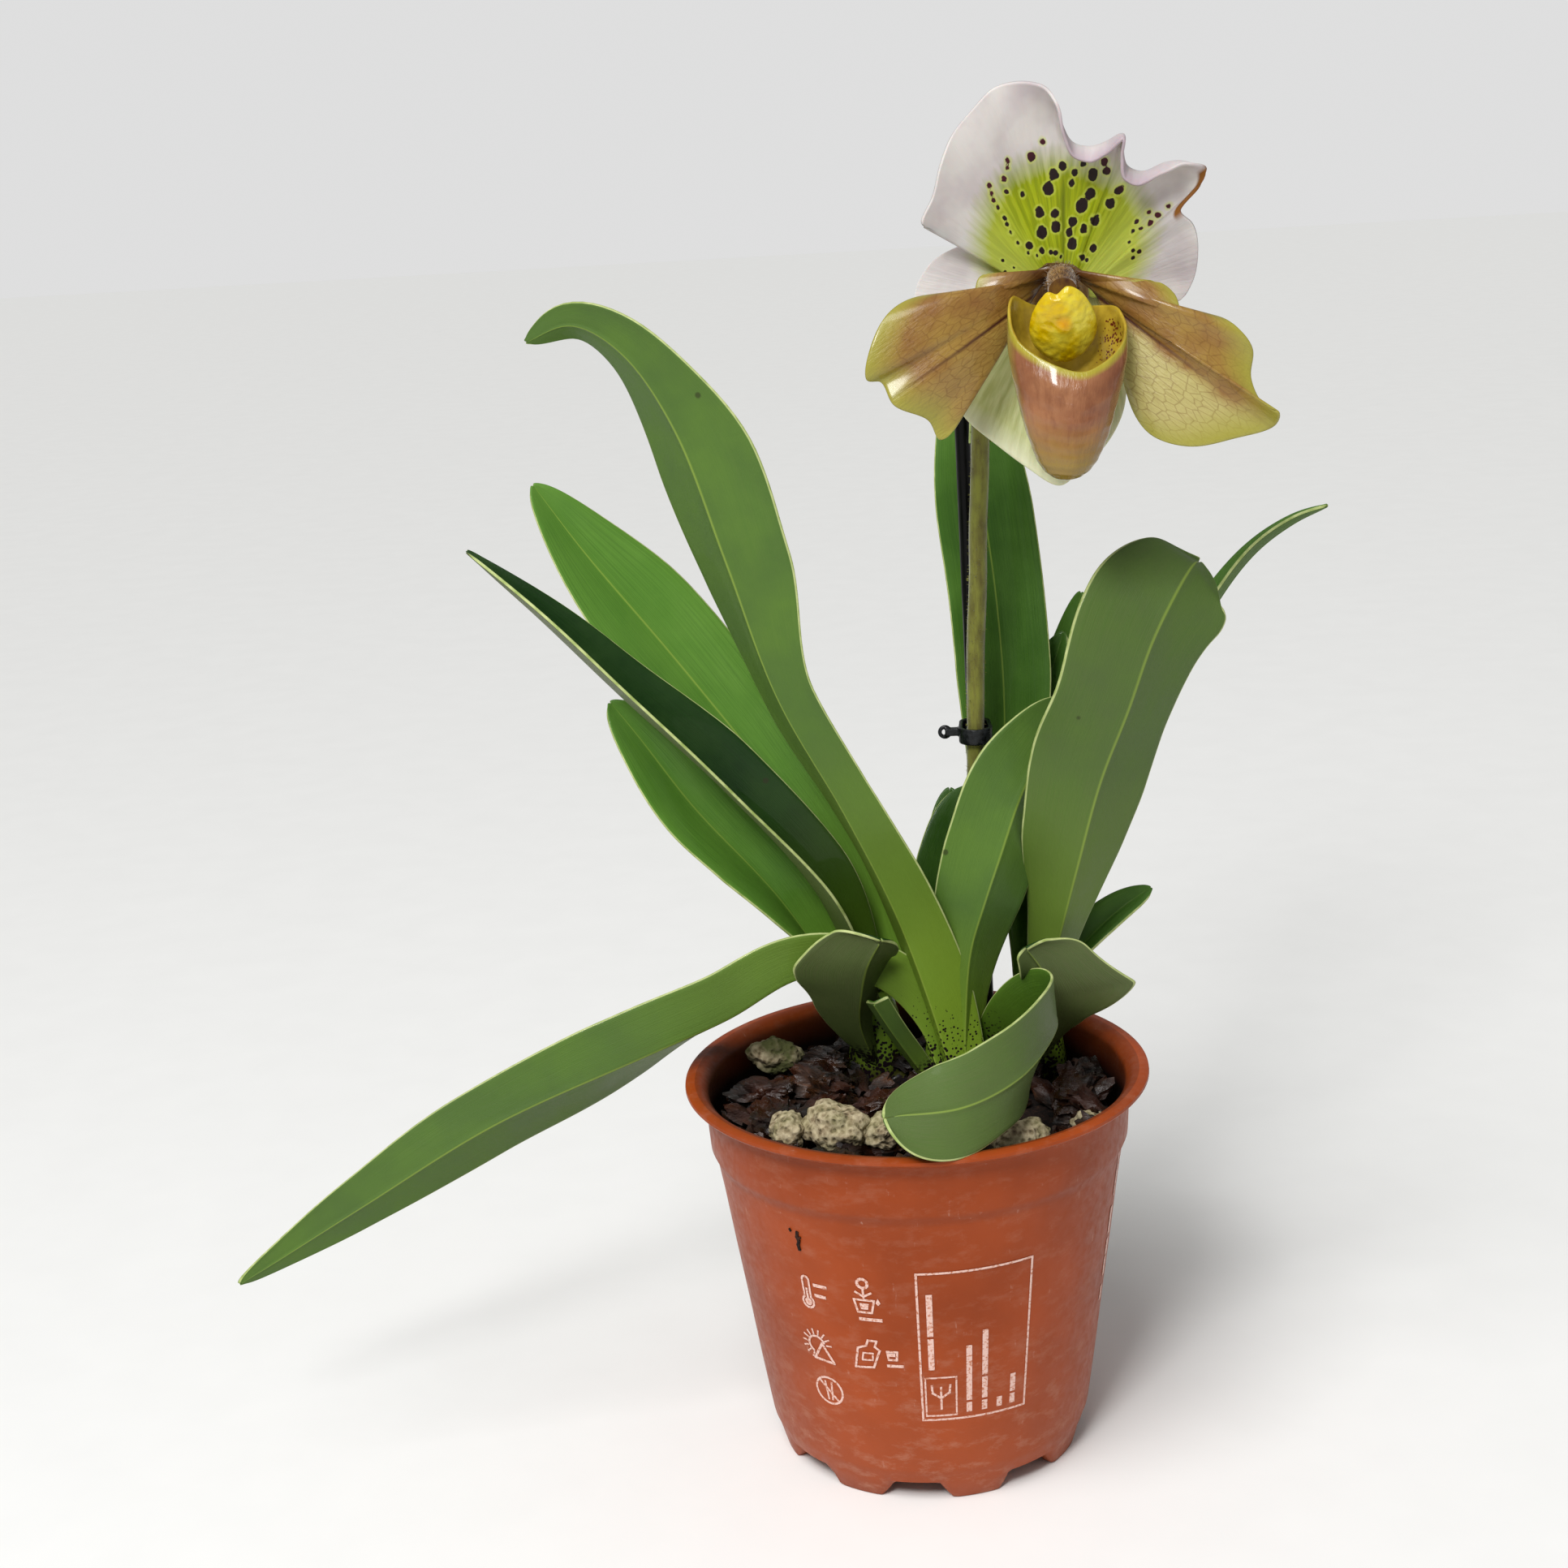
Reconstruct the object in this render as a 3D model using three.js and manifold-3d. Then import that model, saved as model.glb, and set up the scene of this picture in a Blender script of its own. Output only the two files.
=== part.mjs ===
// A potted slipper orchid: four leafy growths and one staked flower in a nursery pot of bark and pumice.
// Millimetres, +Z up. The pot stands on z = 0, and the middle of the whole plant's outline is at x = y = 0.
import * as THREE from 'three';
import { mergeVertices } from 'three/addons/utils/BufferGeometryUtils.js';
import Module from 'manifold-3d';

const wasm = await Module();
wasm.setup();

// Driving dimensions
const clearance = 0.3;         // between pieces that touch

const potHeight = 102.3;
const rimRadius = 60;          // outside of the rolled lip
const lipWidth = 4.2;
const lipThickness = 1.9;
const potWall = 1.3;
const collarHeight = 18;       // from the rim down to the step in the wall
const collarStep = 1.2;        // how far the wall steps in below the collar
const potTaper = 11;           // how much the body narrows from the step to its foot
const footHeight = 6;
const footWall = 2.4;
const footCount = 8;
const footGap = 10;
const footTurn = 16;           // degrees from the front to the first foot
const drainRadius = 4;

const surfaceDrop = 12.3;      // from the rim down to the bark
const chipFlatness = 0.62;
const growthRise = 26;         // how far a growth's base stands above the bark
const growthDepth = 10;        // how far it goes down into the bark

const leafThickness = 1.5;
const keelDepth = 0.7;
const flowerThickness = 1.0;

const stemRadius = 2.4;
const stickRadius = 2;
const stickDepth = 60;         // length pushed into the bark
const clipHeight = 4;
const clipWall = 1.2;
const clipTab = 4;
const clipTabWidth = 3;

const pouchWidth = 26;
const pouchLength = 33;
const pouchWall = 1;

// Sizes that follow from them
const openingRadius = rimRadius - lipWidth;
const collarRadius = openingRadius - 0.8;
const stepHeight = potHeight - collarHeight;
const bodyRadius = collarRadius - collarStep - 1;
const footRadius = bodyRadius - potTaper;
const surface = potHeight - surfaceDrop;
const spread = (openingRadius - potWall) / 54.5;

// The growths keep their places between the pot's walls, so a planted point moves with the opening,
// and its height counts from the bark. A point over the rim counts from the rim.
function planted([x, y, z]) {
  return new THREE.Vector3(x * spread, y * spread, surface + z);
}

function overRim(reach, azimuth, height) {
  const angle = THREE.MathUtils.degToRad(azimuth);
  const radius = (rimRadius + reach) / spread;
  return [radius * Math.cos(angle), radius * Math.sin(angle), surfaceDrop + height];
}

function vector(values) {
  return new THREE.Vector3(...values);
}

function curve(points) {
  return new THREE.CatmullRomCurve3(points, false, 'centripetal');
}

// Solids
function solid(geometry) {
  const bare = geometry.index ? geometry : mergeVertices(geometry);
  bare.deleteAttribute('normal');
  bare.deleteAttribute('uv');
  const welded = mergeVertices(bare, 1e-4);
  const vertProperties = Float32Array.from(welded.attributes.position.array);
  const triVerts = Uint32Array.from(welded.index.array);
  return new wasm.Manifold(new wasm.Mesh({ numProp: 3, vertProperties, triVerts }));
}

function geometryOf(body) {
  const mesh = body.getMesh();
  const geometry = new THREE.BufferGeometry();
  geometry.setAttribute('position', new THREE.BufferAttribute(mesh.vertProperties, 3));
  geometry.setIndex(new THREE.BufferAttribute(mesh.triVerts, 1));
  const faceted = geometry.toNonIndexed();
  faceted.computeVertexNormals();
  return faceted;
}

function moved(geometry, change) {
  const spots = geometry.attributes.position;
  for (let i = 0; i < spots.count; i += 1) {
    const point = change(new THREE.Vector3().fromBufferAttribute(spots, i));
    spots.setXYZ(i, point.x, point.y, point.z);
  }
  return geometry;
}

function turned(profile, segments) {
  const outline = profile.map(([radius, height]) => new THREE.Vector2(radius, height));
  return new THREE.LatheGeometry(outline, segments).rotateX(Math.PI / 2);
}

function rod(points, radius, steps, quarters = 2) {
  const ring = new THREE.Shape().absarc(0, 0, radius, 0, Math.PI * 2);
  const settings = { steps, curveSegments: 2 * quarters, extrudePath: curve(points), bevelEnabled: false };
  return new THREE.ExtrudeGeometry(ring, settings);
}

// Leaves: a flat strip is bent onto the midrib, folded along it, and rounded off at the tip
const leafColumns = 4;
const leafRows = 12;
const tipRows = 0.3;           // share of the rows that shape the tip

function leafStep(row, tip) {
  const start = 1 - tipRows;
  if (row <= start) return { along: (row / start) * tip, narrowing: 1 };
  const angle = ((row - start) / tipRows) * (Math.PI / 2);
  return { along: tip + (1 - tip) * Math.sin(angle), narrowing: Math.max(Math.cos(angle), 0.12) };
}

// A list of values spaced evenly from the crown to the tip, read at any place between
function spaced(values) {
  const line = new THREE.CatmullRomCurve3(values.map((value) => new THREE.Vector3(value, 0, 0)));
  return (along) => line.getPoint(along).x;
}

// A leaf's two halves may differ: its share list says how much of the width lies on the right half
function leaf({ rib, face, width, share = [0.5, 0.5], fold = [60, 25, 20], tip = 0.7 }, grow = 0) {
  const midrib = curve(rib.map(planted));
  const upper = new THREE.CatmullRomCurve3(face.map(vector));
  const widthAt = spaced(width);
  const shareAt = spaced(share);
  const foldAt = spaced(fold);
  const strip = new THREE.BoxGeometry(2, 1, 1, leafColumns, leafRows, 1);
  return solid(moved(strip, (spot) => {
    const { along, narrowing } = leafStep(spot.y + 0.5, tip);
    const tangent = midrib.getTangentAt(along);
    const up = upper.getPoint(along).projectOnPlane(tangent).normalize();
    const right = tangent.clone().cross(up);
    const angle = THREE.MathUtils.degToRad(foldAt(along));
    const lean = Math.sign(spot.x) * Math.sin(angle);
    const level = spot.x === 0 ? 1 : Math.cos(angle);
    const normal = up.clone().multiplyScalar(level).addScaledVector(right, -lean);
    const half = widthAt(along) * (spot.x > 0 ? shareAt(along) : 1 - shareAt(along));
    const reach = Math.abs(spot.x) * (half * narrowing + grow);
    const thickness = leafThickness * (1 - 0.45 * spot.x ** 2) + 2 * grow;
    const keel = spot.x === 0 && spot.z < 0 ? keelDepth * narrowing : 0;
    return midrib.getPointAt(along)
      .addScaledVector(right, Math.sign(spot.x) * reach * Math.cos(angle))
      .addScaledVector(up, reach * Math.sin(angle))
      .addScaledVector(normal, spot.z * thickness - keel)
      .addScaledVector(tangent, (spot.y > 0.49) * grow);
  }));
}

// Each leaf has its midrib from the crown to the tip, which way its upper face looks along it,
// its width from margin to margin over the face, and how steeply its halves fold up
const leaves = {
  leaf_tall_left: {
    rib: [[8, 15, 18], [2, 10, 50], [-13, 4, 80], [-30, 2, 112], [-42, 4, 147], [-53, 8, 180],
      [-64, 10, 199], [-76, 12, 206], [-88, 14, 202]],
    face: [[0.4, 0.9, 0.2], [0.6, 0.7, 0.3], [0.5, 0.8, 0.3], [0.4, 0.8, 0.5]],
    width: [20, 19, 18, 20, 31, 33, 26, 18],
    fold: [45, 25, 20],
  },
  leaf_front_middle: {
    rib: [[15, 14, 18], [18, 10, 40], [21, 10, 52], [24, 12, 65], [30, 16, 80], [37, 21, 92], [43, 27, 102]],
    face: [[0, 1, 0.1], [-0.2, 1, 0.2], [-0.3, 0.9, 0.4]],
    width: [14, 22, 29, 31, 28],
  },
  leaf_drooping_left: {
    rib: [[5, 16, 16], [-9, 15, 30], [-28, 12, 33], overRim(-11, 173, 12), overRim(10, 180, 5),
      overRim(50, 184, -9), overRim(86, 185, -27.5), overRim(120, 185, -47)],
    face: [[0, 0.6, 0.8], [0.1, 0.8, 0.6], [0.1, 1, 0.3], [0.1, 1, 0.3]],
    width: [20, 23, 27, 28, 22, 16, 11],
    fold: [65, 40, 25, 20],
    tip: 0.75,
  },
  leaf_wide_left: {
    rib: [[-6, 36, 22], [-19, 40, 57], [-40, 45, 86], [-62, 48, 116], [-82, 48, 143], [-94, 46, 162]],
    face: [[0.6, -0.6, 0.3], [0.4, -0.8, 0.4], [0.3, -0.8, 0.5]],
    width: [15, 23, 33, 35, 26],
    tip: 0.6,
  },
  leaf_strap_left: {
    rib: [[-12, 32, 20], [-24, 24, 54], [-46, 19, 84], [-71, 17, 111], [-91, 17, 133], [-108, 18, 150]],
    face: [[0.7, -0.4, 0.4], [0.55, -0.5, 0.6], [0.5, -0.3, 0.8]],
    width: [16, 26, 26, 20, 12],
    fold: [60, 50, 55],
    tip: 0.6,
  },
  leaf_low_left: {
    rib: [[-16, 35, 16], [-36, 34, 48], [-58, 32, 76], [-70, 30, 96], [-76, 30, 106]],
    face: [[0.6, -0.5, 0.6], [0.5, -0.7, 0.5], [0.4, -0.8, 0.4]],
    width: [16, 26, 28, 24],
    tip: 0.6,
  },
  leaf_back_left: {
    rib: [[-15, 42, 22], [-46, 60, 73], [-69, 66, 100], [-80, 68, 116]],
    face: [[0.6, -0.5, 0.6], [0.5, -0.7, 0.5], [0.4, -0.8, 0.4]],
    width: [15, 24, 26, 20],
    tip: 0.6,
  },
  leaf_inner_left: {
    rib: [[-6, 42, 22], [-17, 56, 59], [-34, 62, 88], [-46, 64, 105]],
    face: [[0.6, -0.7, 0.3], [0.4, -0.8, 0.4], [0.3, -0.8, 0.4]],
    width: [14, 22, 25, 20],
  },
  leaf_front_left_short: {
    rib: [[-12, 29, 2], [-16, 18, 18], [-16, 10, 30], [-14, 5, 39], [-9, 2, 47]],
    face: [[-0.3, 0.9, 0.2], [-0.35, 0.9, 0], [-0.4, 0.9, -0.2]],
    width: [8, 13, 20, 30, 18],
    share: [0.5, 0.58, 0.65, 0.6],
    fold: [60, 30, 22],
    tip: 0.93,
  },
  leaf_cut_stub: {
    rib: [[3, 18, 2], [-5, 12, 17], [-10, 9, 27]],
    face: [[0.2, 0.8, 0.5], [0.2, 0.8, 0.5]],
    width: [8, 9],
    fold: [40, 40],
    tip: 0.98,
  },
  leaf_broad_right: {
    rib: [[34, 26, 14], [39, 17, 40], [44, 11, 62], [50, 8, 85], [57, 5, 104], [63, 4, 121], [69, 6, 132],
      [74, 11, 138], [77, 18, 138]],
    face: [[0, 1, 0], [-0.1, 1, 0.1], [-0.3, 0.9, 0.3], [-0.2, 0.6, -0.6]],
    width: [16, 23, 34, 39, 41, 38],
    fold: [60, 20, 15],
    tip: 0.84,
  },
  leaf_reaching_right: {
    rib: [[36, 36, 20], [58, 42, 70], [78, 44, 112], [93, 44, 134], [104, 42, 143], [113, 41, 147]],
    face: [[-0.7, -0.5, 0.4], [-0.7, -0.2, 0.7], [-0.5, -0.1, 0.9]],
    width: [14, 18, 14, 11],
    fold: [60, 55, 50],
  },
  leaf_front_curled: {
    rib: [[22, 22, 4], [27, 12, 17], [34, 1, 26], [35.5, -12, 27], overRim(-14, 302, 11), overRim(-8, 281, 9),
      overRim(-5, 262, 9)],
    face: [[-0.1, -0.9, 0.3], [-0.6, -0.7, 0.3], [-1, 0.1, 0.2], [-0.4, 0.7, -0.4], [0.1, 0.6, -0.8]],
    width: [16, 24, 27, 25, 29],
    fold: [35, 25, 15, 10],
    tip: 0.82,
  },
  leaf_front_right_short: {
    rib: [[31.9, 22, 3], [34.5, 14, 18], [35, 8, 27], [34, 5, 35], [29.5, 2, 43]],
    face: [[0.2, 0.9, 0.2], [0.2, 0.9, -0.1], [0.1, 0.9, -0.3]],
    width: [10, 14, 18, 30, 8],
    share: [0.5, 0.45, 0.35, 0.22, 0.4],
    fold: [60, 25, 10],
    tip: 0.96,
  },
  leaf_low_right: {
    rib: [[36, 33, 14], [45, 38, 28], [56, 41, 38], [66, 44, 44]],
    face: [[-0.5, -0.6, 0.7], [-0.4, -0.7, 0.7]],
    width: [9, 15, 15],
    fold: [50, 30],
    tip: 0.4,
  },
  leaf_folded_right: {
    rib: [[32, 39, 22], [34, 46, 66], [38, 50, 92], [45, 54, 114]],
    face: [[-0.3, -0.9, 0.2], [-0.4, -0.8, 0.3]],
    width: [13, 20, 22, 20],
    fold: [60, 40],
    tip: 0.6,
  },
  leaf_behind_stem: {
    rib: [[18, 46, 24], [26, 41, 68], [28, 45, 97], [27, 49, 125], [24, 53, 155], [21, 57, 188]],
    face: [[0, -1, 0], [0, -1, 0.1], [0, -1, 0.2]],
    width: [13, 22, 28, 28, 24],
    tip: 0.75,
  },
  leaf_far_right: {
    rib: [[20, 51, 24], [38, 60, 62], [44, 66, 90], [51, 68, 122]],
    face: [[-0.3, -0.9, 0.2], [-0.3, -0.9, 0.3]],
    width: [10, 16, 17, 14],
    tip: 0.6,
  },
  leaf_back_short: {
    rib: [[12, 50, 26], [9, 53, 45], [13, 57, 57], [18, 61, 70]],
    face: [[0, -1, 0.1], [0, -0.9, 0.4]],
    width: [10, 17, 18],
    tip: 0.6,
  },
  leaf_back_narrow: {
    rib: [[13, 54, 26], [12, 62, 48], [13, 68, 68]],
    face: [[0, -1, 0.2], [0, -0.9, 0.4]],
    width: [8, 14, 13],
    tip: 0.6,
  },
};

// Growths: the leaves stand in four fans, which a creeping rhizome joins under the bark
const growths = [
  { at: [11, 20], low: 7, high: [10.5, 8] },
  { at: [-10, 36], low: 7, high: [8.5, 8] },
  { at: [33, 30], low: 7, high: [8, 8] },
  { at: [15, 48], low: 6, high: [7.5, 6] },
];
const rhizomeRadius = 4.5;

function growthBase({ at, low, high }, grow) {
  const reach = growthRise + growthDepth;
  const rows = [[0, 0], [0.8, 0], [1, 0.08], [1, 0.5], [1, 0.8], [0.8, 0.94], [0, 1]];
  const profile = rows.map(([share, rise]) => [share, rise * reach]);
  const middle = planted([...at, -growthDepth]);
  return solid(moved(turned(profile, 12), (spot) => {
    const rise = spot.z / reach;
    const wide = THREE.MathUtils.lerp(low, high[0], rise) + grow;
    const deep = THREE.MathUtils.lerp(low, high[1], rise) + grow;
    const lift = rise * (reach + 2 * grow) - grow;
    return new THREE.Vector3(spot.x * wide, spot.y * deep, lift).add(middle);
  }));
}

function crown(grow = 0) {
  const [first, ...others] = growths;
  const depth = -growthDepth / 2;
  const runners = others.map(({ at }, i) => {
    const from = i === 2 ? others[0].at : first.at;
    const ends = [planted([...from, depth]), planted([...at, depth])];
    return solid(rod(ends, rhizomeRadius + grow, 1));
  });
  return growths.map((growth) => growthBase(growth, grow)).concat(runners).reduce((all, next) => all.add(next));
}

// Pot
function potOuter() {
  const lipBottom = potHeight - lipThickness;
  return [
    [footRadius - 3, 0],
    [footRadius, footHeight + 2.4],
    [bodyRadius, stepHeight - 2],
    [bodyRadius + collarStep, stepHeight + 1],
    [collarRadius, lipBottom],
    [rimRadius - 0.9, lipBottom],
    [rimRadius, potHeight - lipThickness / 2],
    [rimRadius - 0.9, potHeight],
  ];
}

function potInner(inset) {
  const inside = potWall + inset;
  return [
    [openingRadius - inset, potHeight],
    [collarRadius - inside, potHeight - lipThickness],
    [bodyRadius + collarStep - inside, stepHeight + 1],
    [bodyRadius - inside, stepHeight - 2],
    [footRadius - inside, footHeight + potWall + 2 + inset],
    [footRadius - inside - 2, footHeight + potWall + inset],
  ];
}

function pot(grow = 0) {
  const skirt = footRadius - 3 - footWall;
  const floor = [[0, footHeight], [skirt, footHeight], [skirt, 0]];
  const profile = [...floor, ...potOuter(), ...potInner(0), [0, footHeight + potWall]];
  let body = solid(turned(profile, 44));
  if (grow > 0) return body;
  for (let i = 0; i < footCount; i += 1) {
    const angle = THREE.MathUtils.degToRad(-90 + footTurn + ((i + 0.5) * 360) / footCount);
    const notch = new THREE.BoxGeometry(4 * footWall + 6, footGap, 2 * footHeight - 2);
    body = body.subtract(solid(notch.translate(footRadius - 2, 0, 0).rotateZ(angle)));
    const drain = new THREE.CylinderGeometry(drainRadius, drainRadius, 4 * footHeight, 12).rotateX(Math.PI / 2);
    body = body.subtract(solid(drain.translate(skirt - drainRadius - 2, 0, 0).rotateZ(angle)));
  }
  return body;
}

// Bark, pumice and the fine mix under them
function growingMix() {
  const heaps = [[0.93, -1.5], [0.7, 0.5], [0.4, 1.5], [0.15, 0.5]];
  const wallRadius = bodyRadius + collarStep - potWall - clearance;
  const side = potInner(clearance).slice(2).reverse();
  const top = heaps.map(([share, height]) => [share * wallRadius, surface + height]);
  const profile = [[0, footHeight + potWall + clearance], ...side, [wallRadius, surface - 3], ...top, [0, surface]];
  return solid(turned(profile, 28));
}

function lump([x, y, z, size], order, flatness, grow) {
  const shape = new THREE.DodecahedronGeometry(1, 0);
  const spin = order * 2.4;
  return solid(moved(shape, (spot) => {
    const ripple = 1 + 0.13 * Math.sin(3.1 * spot.x + spin) * Math.cos(2.7 * spot.y - spin);
    return spot.multiplyScalar(ripple);
  })
    .scale(1.25 * size + grow, 0.9 * size + grow, flatness * size + grow)
    .rotateX(0.3 * Math.sin(spin))
    .rotateZ(spin)
    .translate(...planted([x, y, z])));
}

const pumiceStones = [
  [-38, 25, 7, 6], [-21, -22, 5, 8], [-33, -20, 4, 5.5], [-8, -23, 4, 6], [25, -32, 4, 6.5], [44, -14, 0, 4.5],
];
const barkChips = [
  [-40, 7, 1, 9], [-25, 9, 2, 9], [-38, -9, 1, 8], [-24, -6, 1, 8], [-9, -8, 2, 8], [-36, -30, 1, 6],
  [-19, -39, 0, 8], [-1, -40, 0, 7], [8, -20, 1, 8], [11, -39, 0, 6], [39, -27, 0, 7], [41, 3, 1, 8],
  [46, 18, 0, 7], [-25, 26, 2, 7],
];

// Flower stem, its stick and the clip that ties them
const stemPath = [[15, 24, 20], [18.5, 24, 70], [20, 24, 110], [22, 23, 150], [23.5, 21, 176]];
const stickFoot = [20, 31, 0];
const stickTop = [19, 30, 193];
const clipRise = 94.5;          // above the bark

function stick(grow = 0) {
  const foot = planted(stickFoot);
  const top = planted(stickTop);
  const down = foot.clone().sub(top).normalize();
  const tip = foot.clone().addScaledVector(down, stickDepth);
  return solid(rod([tip, top], stickRadius + grow, 1));
}

function onPath(points, rise) {
  const line = curve(points.map(planted));
  let [low, high] = [0, 1];
  for (let i = 0; i < 20; i += 1) {
    const middle = (low + high) / 2;
    if (line.getPoint(middle).z < surface + rise) low = middle;
    else high = middle;
  }
  return line.getPoint(low);
}

function clipOutline(shape, stem, back, margin) {
  const apart = back.clone().sub(stem);
  const heading = Math.atan2(apart.y, apart.x);
  shape.absarc(stem.x, stem.y, stemRadius + margin, heading + Math.PI / 2, heading - Math.PI / 2, false);
  shape.absarc(back.x, back.y, stickRadius + margin, heading - Math.PI / 2, heading + Math.PI / 2, false);
  return shape;
}

function clip(grow = 0) {
  const stem = onPath(stemPath, clipRise);
  const back = onPath([stickFoot, stickTop], clipRise);
  const ring = clipOutline(new THREE.Shape(), stem, back, clearance + clipWall + grow);
  ring.holes.push(clipOutline(new THREE.Path(), stem, back, clearance - grow));
  const settings = { depth: clipHeight, curveSegments: 5, bevelEnabled: false };
  const loop = new THREE.ExtrudeGeometry(ring, settings).translate(0, 0, stem.z - clipHeight / 2);
  const tab = new THREE.BoxGeometry(clipTab + clipWall, clipTabWidth, clipHeight - 2 * clearance);
  const left = Math.min(stem.x - stemRadius, back.x - stickRadius) - clearance - clipWall;
  tab.translate(left - clipTab / 2 + clipWall, (stem.y + back.y) / 2, stem.z);
  return solid(loop).add(solid(tab));
}

// Flower: its pieces count from the heart, where they join
const heart = [43, -8, 202];

function blossom([x, y, z]) {
  return planted(heart).add(new THREE.Vector3(x, y, z));
}

// A sheet runs from its claw, a short line at the heart, out to its margin
const sheetColumns = 20;
const sheetRows = 3;

function sheet({ claw, margin, bow }, grow = 0) {
  const [left, right] = claw.map(blossom);
  const edge = curve(margin.map(blossom));
  const place = (across, out) => {
    const root = left.clone().lerp(right, across);
    const rounding = bow * Math.sin(Math.PI * out) * Math.sin(Math.PI * across);
    return root.lerp(edge.getPoint(across), out).add(new THREE.Vector3(0, rounding, 0));
  };
  const strip = new THREE.BoxGeometry(1, 1, 1, sheetColumns, sheetRows, 1);
  return solid(moved(strip, (spot) => {
    const across = spot.x + 0.5;
    const out = spot.y + 0.5;
    const ahead = place(Math.min(across + 0.01, 1), out).sub(place(Math.max(across - 0.01, 0), out));
    const outward = place(across, Math.min(out + 0.01, 1)).sub(place(across, Math.max(out - 0.01, 0)));
    const normal = ahead.cross(outward).normalize();
    return place(across, out)
      .addScaledVector(normal, spot.z * (flowerThickness + 2 * grow))
      .addScaledVector(outward.normalize(), (out > 0.99) * grow);
  }));
}

const flowerSheets = {
  dorsal_sepal: {
    claw: [[-12, 3, 9], [12, 3, 8]],
    margin: [[-34, 9, 7], [-29, 9, 15], [-23, 8, 20], [-33, -3, 25], [-28, -6, 37], [-20, -6, 49], [-11, -6, 55],
      [-3, -6, 51], [2, -3, 43], [8, -4, 40], [13, -9, 42], [16, -5, 37], [23, -3, 34], [31, -7, 35],
      [29, -6, 26], [31, -4, 17], [30, 1, 9], [26, 4, 4]],
    bow: 5,
  },
  petal_left: {
    claw: [[-9, -1, 11], [-11, -1, 4]],
    margin: [[-20, -7, 12], [-25, -11, 8], [-33, -12, 9], [-42, -14, 6], [-46, -17, -2], [-46, -18, -10],
      [-39, -17, -16], [-32, -16, -20], [-30, -14, -25], [-27, -11, -17], [-21, -5, -3]],
    bow: -4,
  },
  petal_right: {
    claw: [[7, -1, 11], [10, -1, 3]],
    margin: [[14, -5, 10], [21, -10, 8], [27, -13, 2], [35, -16, -1], [41, -18, -9], [42, -18, -17],
      [47, -18, -23], [41, -17, -27], [28, -13, -28], [18, -6, -21], [15, -2, -9]],
    bow: -4,
  },
  synsepal: {
    claw: [[-10, 7, 3], [8, 7, 2]],
    margin: [[-20, 8, 0], [-26, 7, -12], [-24, 4, -22], [-13, 0, -33], [-2, -4, -38], [5, -1, -33], [13, 3, -21],
      [15, 7, -9], [12, 8, -2]],
    bow: 3,
  },
};

// Slipper: a turned cup, flattened, leaned back and cut with a slanting mouth
const pouchToe = [-2.5, -24, -35];
const pouchLean = 8.5;         // how far back the mouth is from the toe
const pouchSlant = 8;          // how far the mouth's back rises over its middle

function pouch(grow = 0) {
  const shares = [[0.97, 1], [1, 0.75], [0.86, 0.42], [0.6, 0.16], [0.35, 0.05]];
  const radius = pouchWidth / 2;
  const outerRows = shares.map(([share, rise]) => [share * radius + grow, rise * pouchLength]).reverse();
  const innerRows = shares.map(([share, rise]) => {
    const wall = pouchWall + grow;
    return [share * radius - wall, rise * pouchLength + pouchWall * (1 - rise)];
  });
  const profile = [[0, -grow], ...outerRows, ...innerRows, [0, 1.5 * pouchWall + grow]];
  return solid(moved(turned(profile, 20), (spot) => {
    const rise = spot.z / pouchLength;
    const slant = pouchSlant * (spot.y / radius) * Math.max(rise, 0);
    const back = pouchLean * rise + 0.85 * spot.y;
    const shift = new THREE.Vector3(spot.x + 1.5 * rise, back, spot.z + slant);
    return blossom(pouchToe).add(shift);
  }));
}

// Column: the shield over the mouth, its short stalk, and the seat that the flower's pieces grow from
const shieldHalf = [6.5, 2.4, 7.5];
const shieldLean = 0.45;
const seatHalf = [6, 4, 5];
const stalkRadius = 2.4;

function ball(half, grow) {
  return new THREE.SphereGeometry(1, 12, 8).scale(...half.map((size) => size + grow));
}

function column(grow = 0) {
  const shield = ball(shieldHalf, grow).rotateX(shieldLean).translate(...blossom([0, -12, 3]));
  const seat = ball(seatHalf, grow).translate(...blossom([-1, 4, 6]));
  const stalk = rod([blossom([0, -10, 10.2]), blossom([-1, 4, 9])], stalkRadius + grow, 1);
  return solid(shield).add(solid(seat)).add(solid(stalk));
}

const ovaryPath = [[23.7, 20.6, 177.5], [27, 16, 190], [33, 7, 201], [39, 0, 205]];
const ovaryRadius = 3.2;

function tube(points, radius, steps) {
  return (grow = 0) => solid(rod(points.map(planted), radius + grow, steps));
}

const bract = {
  rib: [[24, 26.5, 170], [25, 26, 184], [28, 23, 198], [34, 18, 208]],
  face: [[0.2, -1, 0.2], [0.4, -0.6, -0.6]],
  width: [12, 12, 8],
  fold: [45, 30],
  tip: 0.4,
};

// Colours
const green = 0x4f8a2a;
const lightGreen = 0x7fae4a;
const darkGreen = 0x2f6a22;
const finishes = {
  pot: [0xb4532a, 0.55],
  growing_mix: [0x2e2019, 0.95],
  crown: [0x6f9a3c, 0.5],
  bark: [0x4a2c20, 0.9],
  pumice: [0xc9c6ac, 0.95],
  leaf: [green, 0.4],
  flower_stem: [0x7d7b35, 0.7],
  ovary: [0x6f7434, 0.6],
  bract: [lightGreen, 0.5],
  support_stick: [0x161616, 0.5],
  stem_clip: [0x1b1c1d, 0.4],
  dorsal_sepal: [0xe9e6dd, 0.5],
  petal: [0xa97f3a, 0.35],
  synsepal: [0xc4d38c, 0.5],
  pouch: [0x9c6a4e, 0.3],
  column: [0xe6c93a, 0.35],
};
const undersideLeaves = ['leaf_tall_left', 'leaf_drooping_left', 'leaf_front_middle', 'leaf_back_left'];
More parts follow.
